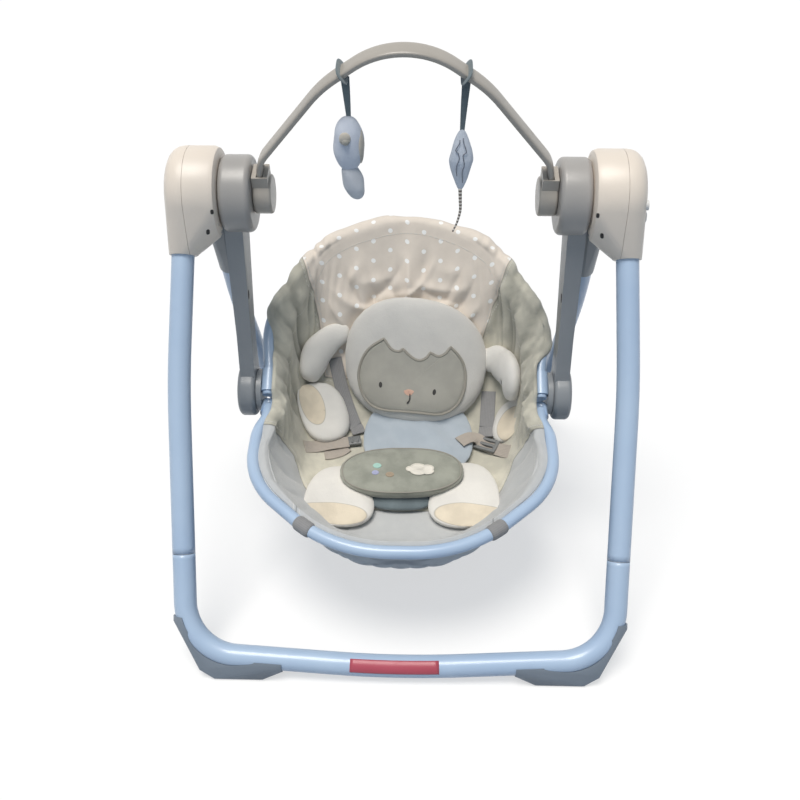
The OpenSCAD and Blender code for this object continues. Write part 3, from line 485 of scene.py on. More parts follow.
def seat_cloth_material():
    """One cloth of four: dotted back, velour sides, plain grey front and quilted underside. The piece's values say how
    far a point lies inside each panel, in mm; seams carry a dark line and a dashed row of stitches beside it.
    Painted shade darkens the velour in its creases and, in part, the underside along its quilting."""
    def build(t):
        uv = t.coords("UV")
        polka, grey, under = map(t.attribute, ("polka", "grey", "under"))
        edge, quilt, crease = map(t.attribute, ("edge", "quilt", "crease"))
        thread, slub = t.use(WEAVE, {"Vector": uv, "Pitch": 0.00022}, ["Thread", "Slub"])
        tone, fuzz = t.use(PILE, {"Vector": t.coords("Object")}, ["Tone", "Fuzz"])
        dot, = t.use(DOTS, {"Vector": uv}, ["Dot"])
        back = t.mix(slub, rgb(0.70, 0.625, 0.545), rgb(0.82, 0.735, 0.645))
        back = t.mix(dot, back, rgb(0.95, 0.94, 0.92))
        side = t.mix(tone, rgb(0.495, 0.475, 0.40), rgb(0.645, 0.615, 0.515))
        # Painted shade: the velour turns darker where the crease value says it is folded in
        side = t.mix(t.times(crease, 0.6), side, rgb(0.26, 0.255, 0.215))
        front = t.mix(slub, rgb(0.45, 0.46, 0.465), rgb(0.56, 0.568, 0.565))
        below = t.mix(slub, rgb(0.44, 0.46, 0.48), rgb(0.54, 0.56, 0.57))
        # Darker bands along the quilting: partly its stitch lines, partly painted shade in the valleys between the
        # puffs
        below = t.mix(t.ramp(quilt, 0.1, 0.45), rgb(0.30, 0.32, 0.345), below)
        is_back, is_front = t.ramp(polka, -0.4, 0.4), t.ramp(grey, -0.4, 0.4)
        c = t.mix(under, t.mix(is_front, t.mix(is_back, side, back), front), below)

        dash = t.ramp(t.math("SINE", t.times(t.math("ADD", *t.split(uv)), 1100.0)), -0.5, -0.2)
        row = 0.0
        for distance, at in ((polka, 4.0), (polka, -4.0), (grey, -5.0), (edge, 13.0)):
            near = t.ramp(t.math("ABSOLUTE", t.math("SUBTRACT", distance, at)), 0.9, 0.4)
            row = t.math("MAXIMUM", near, row)
        stitch = t.times(t.times(row, dash), t.math("SUBTRACT", 1.0, under))
        seam = t.math("MINIMUM", *(t.ramp(t.math("ABSOLUTE", distance), 0.2, 1.6) for distance in (polka, grey)))
        c = t.shade(c, t.math("MULTIPLY_ADD", t.math("MAXIMUM", seam, under), 0.45, 0.55))
        c = t.mix(t.times(stitch, 0.6), c, rgb(0.72, 0.70, 0.66))

        smooth_cloth = t.math("MAXIMUM", t.math("MAXIMUM", is_back, is_front), under)
        nap = t.times(t.math("SUBTRACT", 1.0, smooth_cloth), fuzz)
        height = t.math("ADD", t.times(thread, 0.35), t.times(nap, 1.4))
        return {"Base Color": c, "Height": t.math("ADD", height, t.times(stitch, 1.2))}
    return shader("seat_cloth", 0.0005, {"Roughness": 0.88, "Sheen Weight": 0.3, "Sheen Roughness": 0.5}, build)


# Painted shade: the pale tube paint is made darker and bluer all over, for the cool shade on the lower tubes
SHADED_TUBE_PAINT = plastic("tube_paint", (0.425, 0.54, 0.69), (0.365, 0.48, 0.645), 0.34, 0.2)
STEEL = metal("steel", (0.62, 0.62, 0.63), 0.32)
# Painted shade: arms, knuckles and brackets get a dark blue-grey in place of the hubs' beige, for the shade on the arms
SHADED_ARM_PLASTIC = plastic("arm_plastic", (0.26, 0.275, 0.29), (0.22, 0.235, 0.25), 0.36)
BEIGE = plastic("beige_plastic", (0.80, 0.705, 0.605), (0.74, 0.66, 0.575), 0.36)
# Painted shade: toy bar and bar caps get a dark taupe, the colour of the bar's shaded face, not its lit top edge
SHADED_ARCH_PLASTIC = plastic("arch_plastic_painted_shade", (0.42, 0.385, 0.34), (0.37, 0.34, 0.30), 0.32)
# Painted shade: the arms' collars take a lighter copy, between the hubs' beige and the arm's darker shade
SHADED_COLLAR = plastic("collar_plastic_painted_shade", (0.37, 0.352, 0.335), (0.32, 0.308, 0.295), 0.34)
FOOT = plastic("foot_plastic", (0.215, 0.25, 0.295), (0.175, 0.21, 0.255), 0.5)
RUBBER = plastic("grip_rubber", (0.05, 0.05, 0.055), (0.035, 0.035, 0.04), 0.75)
BUTTON = plastic("button_plastic", (0.72, 0.71, 0.69), (0.64, 0.63, 0.61), 0.45)
BUCKLE = plastic("buckle_plastic", (0.19, 0.195, 0.195), (0.15, 0.155, 0.155), 0.4)
BOARD = plastic("circuit_board", (0.06, 0.20, 0.09), (0.05, 0.15, 0.07), 0.5)
COPPER = metal("coil_wire", (0.72, 0.36, 0.18), 0.35)
STICKER = plastic("blank_sticker", (0.42, 0.065, 0.10), (0.375, 0.055, 0.085), 0.35)
TAPE = webbing("taupe_webbing", (0.54, 0.475, 0.41), (0.33, 0.295, 0.26))
# Painted shade: a darker, greyer copy of the taupe webbing for the shaded shoulder straps, also on the ring loops
SHADED_WEBBING = webbing("webbing_painted_shade", (0.33, 0.325, 0.325), (0.20, 0.20, 0.205))
SLOT = plastic("slot_shadow", (0.02, 0.02, 0.02), (0.015, 0.015, 0.015), 0.8)
PLUSH = pile("cream_plush", (0.75, 0.725, 0.68), (0.71, 0.687, 0.647), sole=(0.76, 0.67, 0.53))
# Painted shade: a darker copy of the cream plush, for the shade that falls on the lamb's head
SHADED_HEAD_PLUSH = pile("head_plush_painted_shade", (0.61, 0.595, 0.565), (0.58, 0.566, 0.54))
# Painted shade: the lamb's white jersey is given a blue-grey colour for the shade it lies in
SHADED_JERSEY = pile("jersey_painted_shade", (0.42, 0.47, 0.52), (0.385, 0.437, 0.49), depth=0.0002)
FACE = pile("face_felt", (0.39, 0.377, 0.335), (0.35, 0.34, 0.303), depth=0.0003)
VELOUR = pile("sage_velour", (0.335, 0.34, 0.29), (0.245, 0.252, 0.213))
# Dark cloth of the toy straps and loops, also used as painted shadow under the crotch cushion
SHADE = pile("dark_cloth_and_painted_shadow", (0.16, 0.20, 0.215), (0.115, 0.145, 0.16), depth=0.0003)
THREAD = woven("satin_thread", (0.34, 0.32, 0.275), (0.26, 0.245, 0.21), 0.00028, 0.5)
STITCH = woven("slate_thread", (0.16, 0.18, 0.23), (0.11, 0.125, 0.165), 0.00025, 0.6)
INK = woven("dark_thread", (0.035, 0.032, 0.03), (0.02, 0.02, 0.02), 0.00025, 0.6)
PEACH = woven("peach_thread", (0.72, 0.46, 0.35), (0.60, 0.37, 0.28), 0.00025, 0.6)
CREAM = woven("cream_thread", (0.84, 0.80, 0.72), (0.70, 0.66, 0.58), 0.00025, 0.55)
MINT = woven("mint_thread", (0.42, 0.66, 0.58), (0.34, 0.55, 0.48), 0.00025, 0.55)
LILAC = woven("lilac_thread", (0.42, 0.44, 0.64), (0.34, 0.36, 0.53), 0.00025, 0.55)
TAN = woven("tan_thread", (0.40, 0.31, 0.22), (0.31, 0.24, 0.17), 0.00025, 0.55)
# Painted shade: the left toy's cream plush, body and lower lobe, is given a blue-grey colour for the cool shade on it
SHADED_TOY_PLUSH = pile("toy_plush_painted_shade", (0.64, 0.68, 0.76), (0.56, 0.60, 0.69))
SHADED_LOBE_PLUSH = pile("lobe_plush_painted_shade", (0.62, 0.64, 0.68), (0.53, 0.55, 0.59))
LEAF_PLUSH = pile("leaf_plush", (0.66, 0.70, 0.77), (0.57, 0.62, 0.70))
CLOTH = seat_cloth_material()
RIBBON = striped("striped_ribbon", (0.74, 0.69, 0.62), (0.17, 0.14, 0.12), 0.0042)


# CAD nodes that stay: plastics, steel and rubber

WELD_GAP, SHARP = 0.02 * MM, np.radians(28)
SOCKET_END, COLLAR_DROP = 196.5, 42


def keep(material, *names):
    """One material on CAD nodes, with smooth faces between sharp edges"""
    for name in names:
        obj = NODES[name]
        obj.data.materials.clear()
        obj.data.materials.append(material)
        obj.data.polygons.foreach_set("use_smooth", np.ones(len(obj.data.polygons), bool))
        obj.modifiers.new("weld", "WELD").merge_threshold = WELD_GAP
        obj.modifiers.new("edges", "EDGE_SPLIT").split_angle = SHARP


def part_of(name, material, pick):
    """Second material on the faces of a CAD node whose middle, in mm, is picked"""
    mesh = NODES[name].data
    mesh.materials.append(material)
    middle = np.zeros(3 * len(mesh.polygons))
    mesh.polygons.foreach_get("center", middle)
    mesh.polygons.foreach_set("material_index", pick(middle.reshape(-1, 3) * 1000).astype(np.int32))


def pair(name):
    """Names of a left and a right node"""
    return [f"{name}_{side}" for side in SIDES]


keep(BEIGE, *pair("hub_outer_shell"), *pair("hub_inner_shell"), "battery_door")
keep(SHADED_ARCH_PLASTIC, *pair("bar_cap"))
keep(SHADED_ARM_PLASTIC, *pair("swing_arm"), *pair("rear_knuckle"), *pair("seat_bracket"))
keep(FOOT, *pair("front_foot"), *pair("rear_foot"))
keep(RUBBER, "front_grips", "rear_grips")
keep(STEEL, "front_leg_plugs", "rear_leg_plugs", *pair("hub_axle"), "hub_screws", "seat_pins", "drive_magnet")
keep(BUTTON, "power_button", "music_button", *pair("fold_button"))
keep(BOARD, "circuit_board")
keep(COPPER, "drive_coil")
keep(BUCKLE, "battery_cells")
for side in SIDES:
    part_of(f"seat_bracket_{side}", SHADED_TUBE_PAINT, lambda p: np.abs(p[:, 0]) < SOCKET_END)
    # Arm faces near the hub take the collar's lighter painted shade, the rest of the arm the darker one
    part_of(f"swing_arm_{side}", SHADED_COLLAR, lambda p: p[:, 2] > HUB_Z - COLLAR_DROP)


def mark(name, at, normal, wide, tall, body):
    """Dark recess: a thin rounded plate sunk into a surface, showing 0.3 mm proud"""
    n = unit(np.array(normal, float))
    side = unit(np.cross(Z_AXIS, n))
    a = slab(wide, tall, 3.0, 32)
    face = a[:, :1] * side + a[:, 1:] * np.cross(n, side)
    rows = [np.array(at) + part * face + high * n for part, high in ((1, -0.8), (1, 0.2), (0.8, 0.3))]
    piece(name, grid(np.stack(rows)), SLOT, body)


for side, k in SIGNS:
    mark(f"arm_slot_{side}", (k * 202.45, -12.5, 387), (-k, 0, -0.03), 7, 13, "swing_arms")
    for hole, at, normal, wide, tall in (
            ("hub_screw_hole", (k * 227.6, -54.9, 514.2), (-k * 0.382, -0.921, -0.073), 4, 6),
            ("hub_low_screw_hole", (k * 236.2, -50.9, 487.5), (-k * 0.391, -0.85, -0.352), 4.4, 8)):
        mark(f"{hole}_{side}", at, normal, wide, tall, "front_frame")


# Tubes of the stand and of the seat

STAND_WALL, SEAT_WALL, SEAM_GAP, BOW = 1.6, 1.2, 0.4, 1400
STICKER_ENDS, STICKER_TURN = (-62, 52), (226, 296)


def tube(path, radius, normal, wall):
    """Round tube along a path, with rows added so that its open ends show their wall and their inside"""
    P = sweep(path, circle(radius), normal)

    def inner(row, next_row):
        c = row.mean(0)
        r = np.linalg.norm(row[0] - c)
        bore = c + (row - c) * (r - wall) / r
        return [bore + (next_row.mean(0) - c) * 2.5, bore, c + (row - c) * (r - 0.4) / r]
    return grid(np.concatenate([inner(P[0], P[1]), P, inner(P[-1], P[-2])[::-1]]))


def stand_tubes(kind, sign, top_x, corner_x, od, start):
    """Two legs and the base tube between them, leaning forward for sign -1 and back for 1: a straight-sided path with
    a slow bow, swept with a round section"""
    down = np.array([0, sign * np.sin(LEAN), -np.cos(LEAN)])
    normal = np.cross(X_AXIS, down)
    mid, corner = np.array([top_x + 6, BOW_RUN]), np.array([corner_x, RUN_CORNER])

    def at(run):
        a, b = (np.array([top_x, 0.0]), mid) if run < BOW_RUN else (mid, corner)
        return a + (b - a) * (run - a[1]) / (b[1] - a[1])

    def make(name, flat, node):
        path = np.array([0, 0, HUB_Z]) + flat[:, :1] * X_AXIS + flat[:, 1:] * down
        shape = tube(path, od / 2, normal, STAND_WALL)
        piece(f"{kind}_{name}", shape, SHADED_TUBE_PAINT, f"{kind}_frame", [f"{kind}_{node}"])
        return path

    for side, k in SIGNS:
        flat = rounded([at(start), mid, at(SEAM_RUN - SEAM_GAP)], [0, BOW, 0], 8.0) * [k, 1]
        make(f"tube_{side}", flat, f"leg_{side}")
    end = at(SEAM_RUN + SEAM_GAP)
    flat = rounded(mirrored([end, corner], [0, RUN_CORNER + 15]), [0, 68, BOW, 68, 0])
    return make("base", flat, "base_tube"), normal


def seat_loop(name, node, points, radii, origin, slope, sign):
    """Seat tube in its own sloping plane, to the front for sign -1 and to the back for 1"""
    flat = rounded(points, radii, 4.0)
    ahead = sign * np.array([0, np.cos(slope), np.sin(slope)])
    path, normal = np.array([0, *origin]) + flat[:, :1] * X_AXIS + flat[:, 1:] * ahead, np.cross(X_AXIS, ahead)
    piece(name, tube(path, SEAT_TUBE, normal, SEAT_WALL), SHADED_TUBE_PAINT, "seat", [node])
    return path, normal


front_path, front_normal = stand_tubes("front", -1, top_x=271.5, corner_x=264, od=28, start=34.5)
stand_tubes("rear", 1, top_x=239.5, corner_x=232, od=25, start=84.5)

angle = np.radians(np.concatenate([np.linspace(*STICKER_TURN, 16), np.linspace(*STICKER_TURN[::-1], 16)]))
radius = np.repeat([14.35, 13.8], 16)
strip = front_path[(front_path[:, 0] > STICKER_ENDS[0]) & (front_path[:, 0] < STICKER_ENDS[1])]
section = np.stack([radius * np.cos(angle), radius * np.sin(angle)], -1)
piece("blank_sticker", grid(sweep(strip, section, front_normal)), STICKER, "front_frame")

ring_path, ring_normal = seat_loop(
    "ring_tube", "seat_front_loop", mirrored([[SOCKET_X, 6], [SOCKET_X, 30], [197, 54], [196, 142], [80, RING_REACH]]),
    [0, 40, 60, 120, 170, 170, 120, 60, 40, 0], (RING_FOOT, PIVOT_Z - SOCKET), LOOP_DROP, -1)
back_path, _ = seat_loop(
    "back_tube", "seat_back_loop",
    mirrored([[SOCKET_X, -14], [SOCKET_X, 26], [192, 62], [192, 100], [118, 222]], [0, 262]),
    [0, 80, 80, 100, 140, 150, 140, 100, 80, 80, 0], (BACK_FOOT, PIVOT_Z + SOCKET), BACK_SLOPE, 1)


# Seat cloth: dish with padded inside, cloth wrapped over the back tube, rolled front edge and quilted underside

ROUND, INSIDE_ROWS, ROLL_ROWS, OUTSIDE_ROWS = 480, 86, 34, 84
PADDING, LINING, QUILT_HIGH, QUILT_PITCH, SLEEVE = 8.2, 3.6, 3.2, 46, 12.4
SPOKES = full_turn(ROUND)

# Half widths of the dotted back at places s, on the padded face and on the roll, its lower end, and the places s where
# the grey front ends at widths x
BACK_LEFT = ([240, 300, 368, 394, 430, 480], [116, 122, 130, 137, 150, 166])
BACK_RIGHT = ([240, 300, 361, 389, 430, 480], [98, 104, 113, 129, 150, 166])
ROLL_LEFT = ([360, 394, 430, 500], [129, 137, 150, 172])
ROLL_RIGHT = ([361, 389, 430, 500], [113, 129, 150, 172])
BACK_LOW = 318
FRONT_END = ([0, 110, 128, 140, 150, 160, 172, 184], [92, 94, 106, 124, 146, 165, 180, 190])

# Folds across the dotted back: plan points of both ends, width and height
BACK_FOLDS = [
    (-80, 436, -20, 452, 8, 3.0), (-66, 408, -100, 440, 7, -3.2), (30, 430, 96, 412, 8, -3.0),
    (52, 455, 100, 440, 9, 2.6), (-30, 420, 30, 428, 9, 2.2), (-120, 402, -90, 378, 6, 3.4),
    (-95, 428, -62, 468, 6, 3.4), (-58, 414, -8, 464, 7, -3.2), (2, 420, 46, 468, 6, 3.0),
    (58, 418, 96, 456, 6, -3.2), (14, 442, 108, 424, 7, 2.8), (-112, 416, -42, 402, 6, 2.8)]

# Creases of the walls: both ends as places along the rim from its widest point, positive to the back, and below the
# rim, then width and height
WALL_LEFT = [
    (206, -70, 128, 62, 5, -5.0), (164, -66, 118, 40, 4, -4.0), (136, -72, 72, 84, 5, -5.4),
    (92, -50, 62, 78, 4, -4.2), (60, -70, 16, 84, 5, -5.2), (10, 0, 2, 76, 4, -4.4), (-36, -20, -74, 84, 5, -5.0),
    (-76, 4, -112, 92, 5, -4.6), (-118, -18, -140, 84, 6, -4.4), (-172, -10, -160, 72, 6, -3.6)]
WALL_RIGHT = [
    (222, -70, 122, 58, 5, -5.2), (190, -50, 108, 64, 4, -4.4), (166, -74, 74, 78, 5, -5.6),
    (132, -44, 58, 80, 4, -4.4), (106, -72, 22, 80, 5, -5.4), (62, -40, 4, 84, 4, -4.4), (24, -66, -30, 76, 5, -5.2),
    (-46, -14, -84, 86, 5, -5.0), (-92, -18, -124, 90, 6, -4.6), (-144, -10, -152, 80, 6, -4.0)]


def folds(x, s, creases, power):
    """Sum of ridges and creases between two points: height * exp(-(distance / width) ** power), fading at the ends"""
    out = np.zeros_like(x)
    for x0, s0, x1, s1, width, height in creases:
        dx, ds = x1 - x0, s1 - s0
        length = np.hypot(dx, ds)
        t = ((x - x0) * dx + (s - s0) * ds) / length ** 2
        off = ((x - x0) * ds - (s - s0) * dx) / length
        out += height * np.exp(-(np.abs(off) / width) ** power) * smooth(-0.2, 0.3, t) * smooth(1.2, 0.7, t)
    return out


def gathers(count=17):
    """Folds of the dotted back: spokes that run out from behind the head, every third one a crease, and folds across"""
    way = np.radians(np.linspace(22, 158, count) + RNG.uniform(-4, 4, count))
    near, far = RNG.uniform(70, 92, count), RNG.uniform(112, 158, count)
    size, high = RNG.uniform(5, 9, count), RNG.uniform(1.3, 3.4, count) * np.where(np.arange(count) % 3 == 1, -1, 1)
    lean = way + RNG.uniform(-0.22, 0.22, count)
    x, s = 12, 325
    starts, ends = (x + near * np.cos(way), s + near * np.sin(way)), (x + far * np.cos(lean), s + far * np.sin(lean))
    return list(zip(*starts, *ends, size, high)) + BACK_FOLDS


def wrinkles(along, below, lean):
    """Fine slanting waves of the velour: patch * sin(phase), the phase running across the creases and bent a little"""
    phase = 2 * np.pi * (lean * 0.83 * along + 0.55 * below) / 15
    phase = phase + 1.5 * np.sin(along / 33 + below / 27) + 0.9 * np.sin(below / 13 - along / 21)
    patch = np.clip(0.55 + 0.9 * np.sin(along / 29 + 1.9 * lean) * np.sin(below / 24 + 0.7), 0, 1)
    place = smooth(-90, -10, along) * smooth(222, 196, along) * smooth(92, 54, below)
    return 1.9 * patch * place * (0.3 + 0.7 * smooth(-42, -6, below)) * np.sin(phase)


def wall_folds(x, along, below):
    """Creases and wrinkles of the velour on the side where x lies"""
    left, right = (folds(along, below, wall, 1.1) + wrinkles(along, below, lean)
                   for wall, lean in ((WALL_LEFT, 1.0), (WALL_RIGHT, 1.1)))
    return np.where(x < 0, left, right)


def inside_back(x, s, left, right):
    """How far inside the dotted back's side seams a plan point lies"""
    return np.where(x < 0, np.interp(s, *left), np.interp(s, *right)) - np.abs(x)


def step_round(P):
    """Step from the point before to the point after, round each row"""
    return np.roll(P, -1, 1) - np.roll(P, 1, 1)


def run_down(P, start):
    """Length along each column from a start row"""
    return np.cumsum(np.linalg.norm(np.diff(P, axis=0, prepend=start[None]), axis=2), axis=0)


def facing(P, row):
    """Normals of rows of points, on the side that looks up at one row"""
    normal = unit(np.cross(step_round(P), np.gradient(P, axis=0)))
    return normal * np.sign((normal[row] @ W_AXIS).mean())


def skin(rows):
    """Rows over the dish at shares r of the way to the rim: plan x and s, points, normals that turn inwards at the rim,
    and the level directions out from the rim"""
    k = superoval(SPOKES, np.where(np.sin(SPOKES) < 0, FRONT_POWER, BACK_POWER))
    r = 1 - (1 - np.linspace(0.012, 1, rows))[:, None] ** 1.9
    s = MID + r * k * np.sin(SPOKES) * MID
    x = r * k * np.cos(SPOKES) * half_at(s)
    P = seat_pt(x, s, dish(x, s))
    out = unit(np.stack([step_round(s)[-1], -step_round(x)[-1]], -1))
    out = out[:, :1] * X_AXIS + out[:, 1:] * S_AXIS
    edge = smooth(0.9, 1, r)[..., None]
    return x, s, P, unit(facing(P, rows // 3) * (1 - edge) - out * edge), out


def tubes_from(rim, out):
    """For each rim point: its bearing, the run up the back tube there, and the tube's centre out and up from it"""
    tubes = np.concatenate([back_path, ring_path])
    x, s, w = to_seat(tubes)
    bearing = np.arctan2(s - MID, x)
    order = np.argsort(bearing)
    spoke = np.arctan2((rim - seat_pt(0, MID, 0)) @ S_AXIS, rim[:, 0])
    run = np.where(tubes[:, 1] > 0, (tubes[:, 2] - PIVOT_Z - SOCKET) / np.sin(BACK_SLOPE), 0)
    run, *centre = (np.interp(spoke, bearing[order], v[order]) for v in (run, x, s, w))
    gap = seat_pt(*centre) - rim
    return spoke, run, (gap * out).sum(-1)[:, None], (gap @ W_AXIS)[:, None]


def seat_cloth():
    """Rows from the middle of the padded face out over the dish, across the rolled rim or round the back tube, and back
    under the quilted outside to the middle. A point is the dish plus an offset along its normal: padding, folds and
    seam dips inside, quilt bumps outside."""
    x, s, P, normal, out = skin(INSIDE_ROWS)
    polka = np.minimum(inside_back(x, s, BACK_LEFT, BACK_RIGHT), s - BACK_LOW)
    grey = np.interp(np.abs(x), *FRONT_END) - s
    length = run_down(P, P[0])
    along = 200 * np.arcsin(np.sin(SPOKES))[None]
    tuck = wall_folds(x, along + 0 * x, length[-1] - length) * (0.25 + 0.75 * smooth(12, -6, polka))
    rough = 1.5 * folds(x, s, gathers(), 1.5) * smooth(1.0, 0.93, share(x, s)) + 1.3 * tuck
    lumps = (0.8 + 1.2 * smooth(370, 430, s)) * np.sin(x / 19 + 1.3) * np.sin(s / 23 + x / 60)
    rough += lumps + 0.5 * np.sin(x / 9 - s / 13)
    seams = 2.4 * np.exp(-(polka / 5) ** 2) + 2.6 * np.exp(-(grey / 4) ** 2) + 1.6 * smooth(-2, 3, grey)
    inside = P + (PADDING + rough - seams)[..., None] * normal

    bx, bs, B, bn, _ = skin(OUTSIDE_ROWS)
    quilt = np.abs(np.sin(np.pi * (bx + bs) / QUILT_PITCH) * np.sin(np.pi * (bx - bs) / QUILT_PITCH)) ** 0.55
    sag = 13 * np.exp(-((bs - 14) / 24) ** 2) * np.clip(1 - (bx / 150) ** 2, 0, 1)
    far = share(bx, bs)
    outside = B - (LINING + QUILT_HIGH * quilt * smooth(1, 0.96, far) + sag * smooth(1, 0.97, far))[..., None] * bn

    # Sleeve round the back tube, and lip of the plain edge
    rim, low = P[-1], outside[-1]
    spoke, run, co, cu = tubes_from(rim, out)
    waves = ((1.3, 7, 0.5), (1.1, 11, 1), (0.8, 23, 0), (0.4, 41, 2))
    puff = SLEEVE + sum(high * np.sin(often * spoke + start) for high, often, start in waves)[:, None]
    put = lambda o, u: rim + o * out + u * W_AXIS
    arc = [put(co + puff * np.cos(q), cu + puff * np.sin(q))
           for q in np.radians([138, 116, 92, 66, 40, 14, -12, -40, -74, -110])]
    aside = np.degrees(np.arcsin(np.sin(spoke)))[:, None]
    over_socket = smooth(-24, -13, aside) * smooth(19, 10, aside)
    eo, eu = co - 10.0 + over_socket, cu - 1 + 13.5 * over_socket
    lip = [put(eo + o, eu + u) for o, u in ((-1.2, 2.8), (1.7, 1.8), (2.5, 0), (1.7, -1.8), (-1.2, -2.8))]

    # The face drawn straight to the sleeve at the back and to the lip in front
    for start, goal, part in ((36, arc[0], smooth(150, 215, run)),
                              (52, 0.3 * inside[-1] + 0.7 * lip[0], 0.8 * smooth(-14, -28, aside[:, 0]))):
        way = np.linspace(0, 1, len(inside) - start)[:, None, None]
        taut = inside[start] + way * (goal - inside[start]) + rough[start:, :, None] * normal[start] * (1 - way ** 4)
        inside[start:] += smooth(0.0, 0.35, way) * part[None, :, None] * (taut - inside[start:])
    top = inside[-1]
    wrap = np.stack([top] + arc[1:] + [low])
    up, back = (lambda f: (1 - f) * top + f * lip[0] + 1.2 * W_AXIS), (lambda f: (1 - f) * low + f * lip[-1])
    hem = np.stack([top, up(0.3), up(0.65)] + lip + [back(0.65), back(0.3), low])
    bare, gone = np.where(rim[:, 0] < 0, 72, 26), np.where(rim[:, 0] < 0, 118, 72)
    wrapped = (smooth(bare, gone, run) * (np.sin(spoke) > 0))[None, :, None]
    over = spline(hem * (1 - wrapped) + wrap * wrapped, ROLL_ROWS)[1:-1]
    raised = wall_folds(over[..., 0], along + 0 * over[..., 0], -run_down(over, top))
    row = np.arange(len(over))[:, None]
    lift = np.maximum(4.4 * smooth(226, 180, along) + raised, -0.5) * smooth(17, 10, row) * smooth(0, 4, row)
    over += lift[..., None] * (0.2 + 0.8 * wrapped) * facing(over, 5)

    # Values for the material, and a UV map in true lengths: across, and up from the middle
    rows = np.concatenate([inside, over, outside[::-1]])
    ox, os, _ = to_seat(over)
    flat = lambda *parts: np.concatenate([part.reshape(-1) for part in parts])
    nought, one, beyond = np.zeros(bx.shape), np.ones(bx.shape), np.full(bx.shape, -50.0)
    values = {
        "polka": flat(polka, inside_back(ox, os, ROLL_LEFT, ROLL_RIGHT), beyond),
        "grey": flat(grey, np.broadcast_to(grey[-1], ox.shape), beyond),
        "under": flat(0 * x, 0 * ox, one),
        "quilt": flat(0 * x + 1, 0 * ox + 1, quilt),
        # Fold depth, by which the velour is darkened as painted shade in its creases
        "crease": np.clip(flat(tuck, raised, nought) / -4, 0, 1),
    }
    reach = run_down(rows, rows[0])
    full = reach[len(inside) - 1]
    values["edge"] = np.where(values["under"] > 0.5, -50, (full - reach).reshape(-1))
    down = np.minimum(reach, full) * np.sin(np.arctan2(s[-1] - MID, x[-1])) + np.maximum(reach - full, 0)
    uv = np.stack([rows[..., 0], down], -1).reshape(-1, 2) * MM
    uv = np.concatenate([uv, [[0, 0], [uv[-ROUND:, 0].max(), 0]]])
    ends = {key: np.append(value, [value[0], value[-1]]) for key, value in values.items()}
    obj = piece("seat_cloth", grid(rows), CLOTH, "seat", ["seat_sling", "seat_pad"], ends, uv)


seat_cloth()


# Webbing: loops round the front ring, harness straps

def band_loop(name, path):
    """Band wrapped round the ring: outer rows along the path and inner rows back, joined to each other"""
    ends = np.array([0.0, 0.7, 1.0])
    lift = 1.5 * np.concatenate([ends, np.ones(len(path) - 6), ends[::-1]])
    outer = sweep(path, (SEAT_TUBE + 0.2 + lift)[:, None, None] * circle(1.0, 36), ring_normal)
    inner = sweep(path, circle(SEAT_TUBE + 0.1, 36), ring_normal)[::-1]
    obj = piece(name, grid(np.concatenate([outer, inner]), loop=True), SHADED_WEBBING, "seat", ["loop_webbing"])


for side, k in SIGNS:
    near = ring_path[np.argmin(np.abs(ring_path[:, 0] - k * 116) + 1e3 * (ring_path[:, 1] > -150))]
    band_loop(f"ring_webbing_{side}", spline(ring_path[np.linalg.norm(ring_path - near, axis=1) < 14], 14))
    into = unit(np.array([0.0, -60.0, 0]) - near * [1, 1, 0])
    lane = spline([near + into * far - Z_AXIS * drop for far, drop in ((2, 9), (11, 11), (22, 20))], 12)
    tab = piece(f"ring_tab_{side}", grid(sweep(lane, slab(19, 1.7), Z_AXIS)), SHADED_WEBBING, "seat")
    span(lane)


def strap(name, width, material, points, replaces=()):
    """Flat webbing along plan points (x, s, height above the dish), lying square to the dish's normal"""
    line = spline(points, 40)
    path, normal = on_seat(line[:, 0], line[:, 1], line[:, 2])
    obj = piece(name, grid(sweep(path, slab(width, 1.8), normal)), material, "seat", replaces)
    span(path)


strap("shoulder_strap_left", 20, SHADED_WEBBING,
      [(-108, 344, 9), (-99, 312, 11), (-88, 280, 11), (-75, 247, 12), (-67, 226, 13)], ["shoulder_straps"])
strap("shoulder_strap_right", 22, SHADED_WEBBING,
      [(128, 300, 10), (126, 268, 12), (124, 240, 13), (121, 220, 15)], ["shoulder_straps"])
strap("waist_strap_left", 20, TAPE,
      [(-150, 195, 9), (-132, 199, 10), (-108, 204, 13), (-81, 209, 14)], ["waist_straps"])
strap("waist_fold_left", 16, TAPE, [(-83, 200, 11), (-92, 192, 10), (-104, 187, 9.5), (-116, 185, 9)])
strap("waist_strap_right", 20, TAPE,
      [(158, 187, 9), (146, 194, 11), (133, 200, 11.5), (120, 207, 12.5), (109, 213, 19), (98, 212, 24), (88, 206, 26),
       (80, 200, 26)], ["waist_straps"])


# Stuffed pieces

SINK, FILL, EAR_FLAT = 6.0, 0.7, 0.52


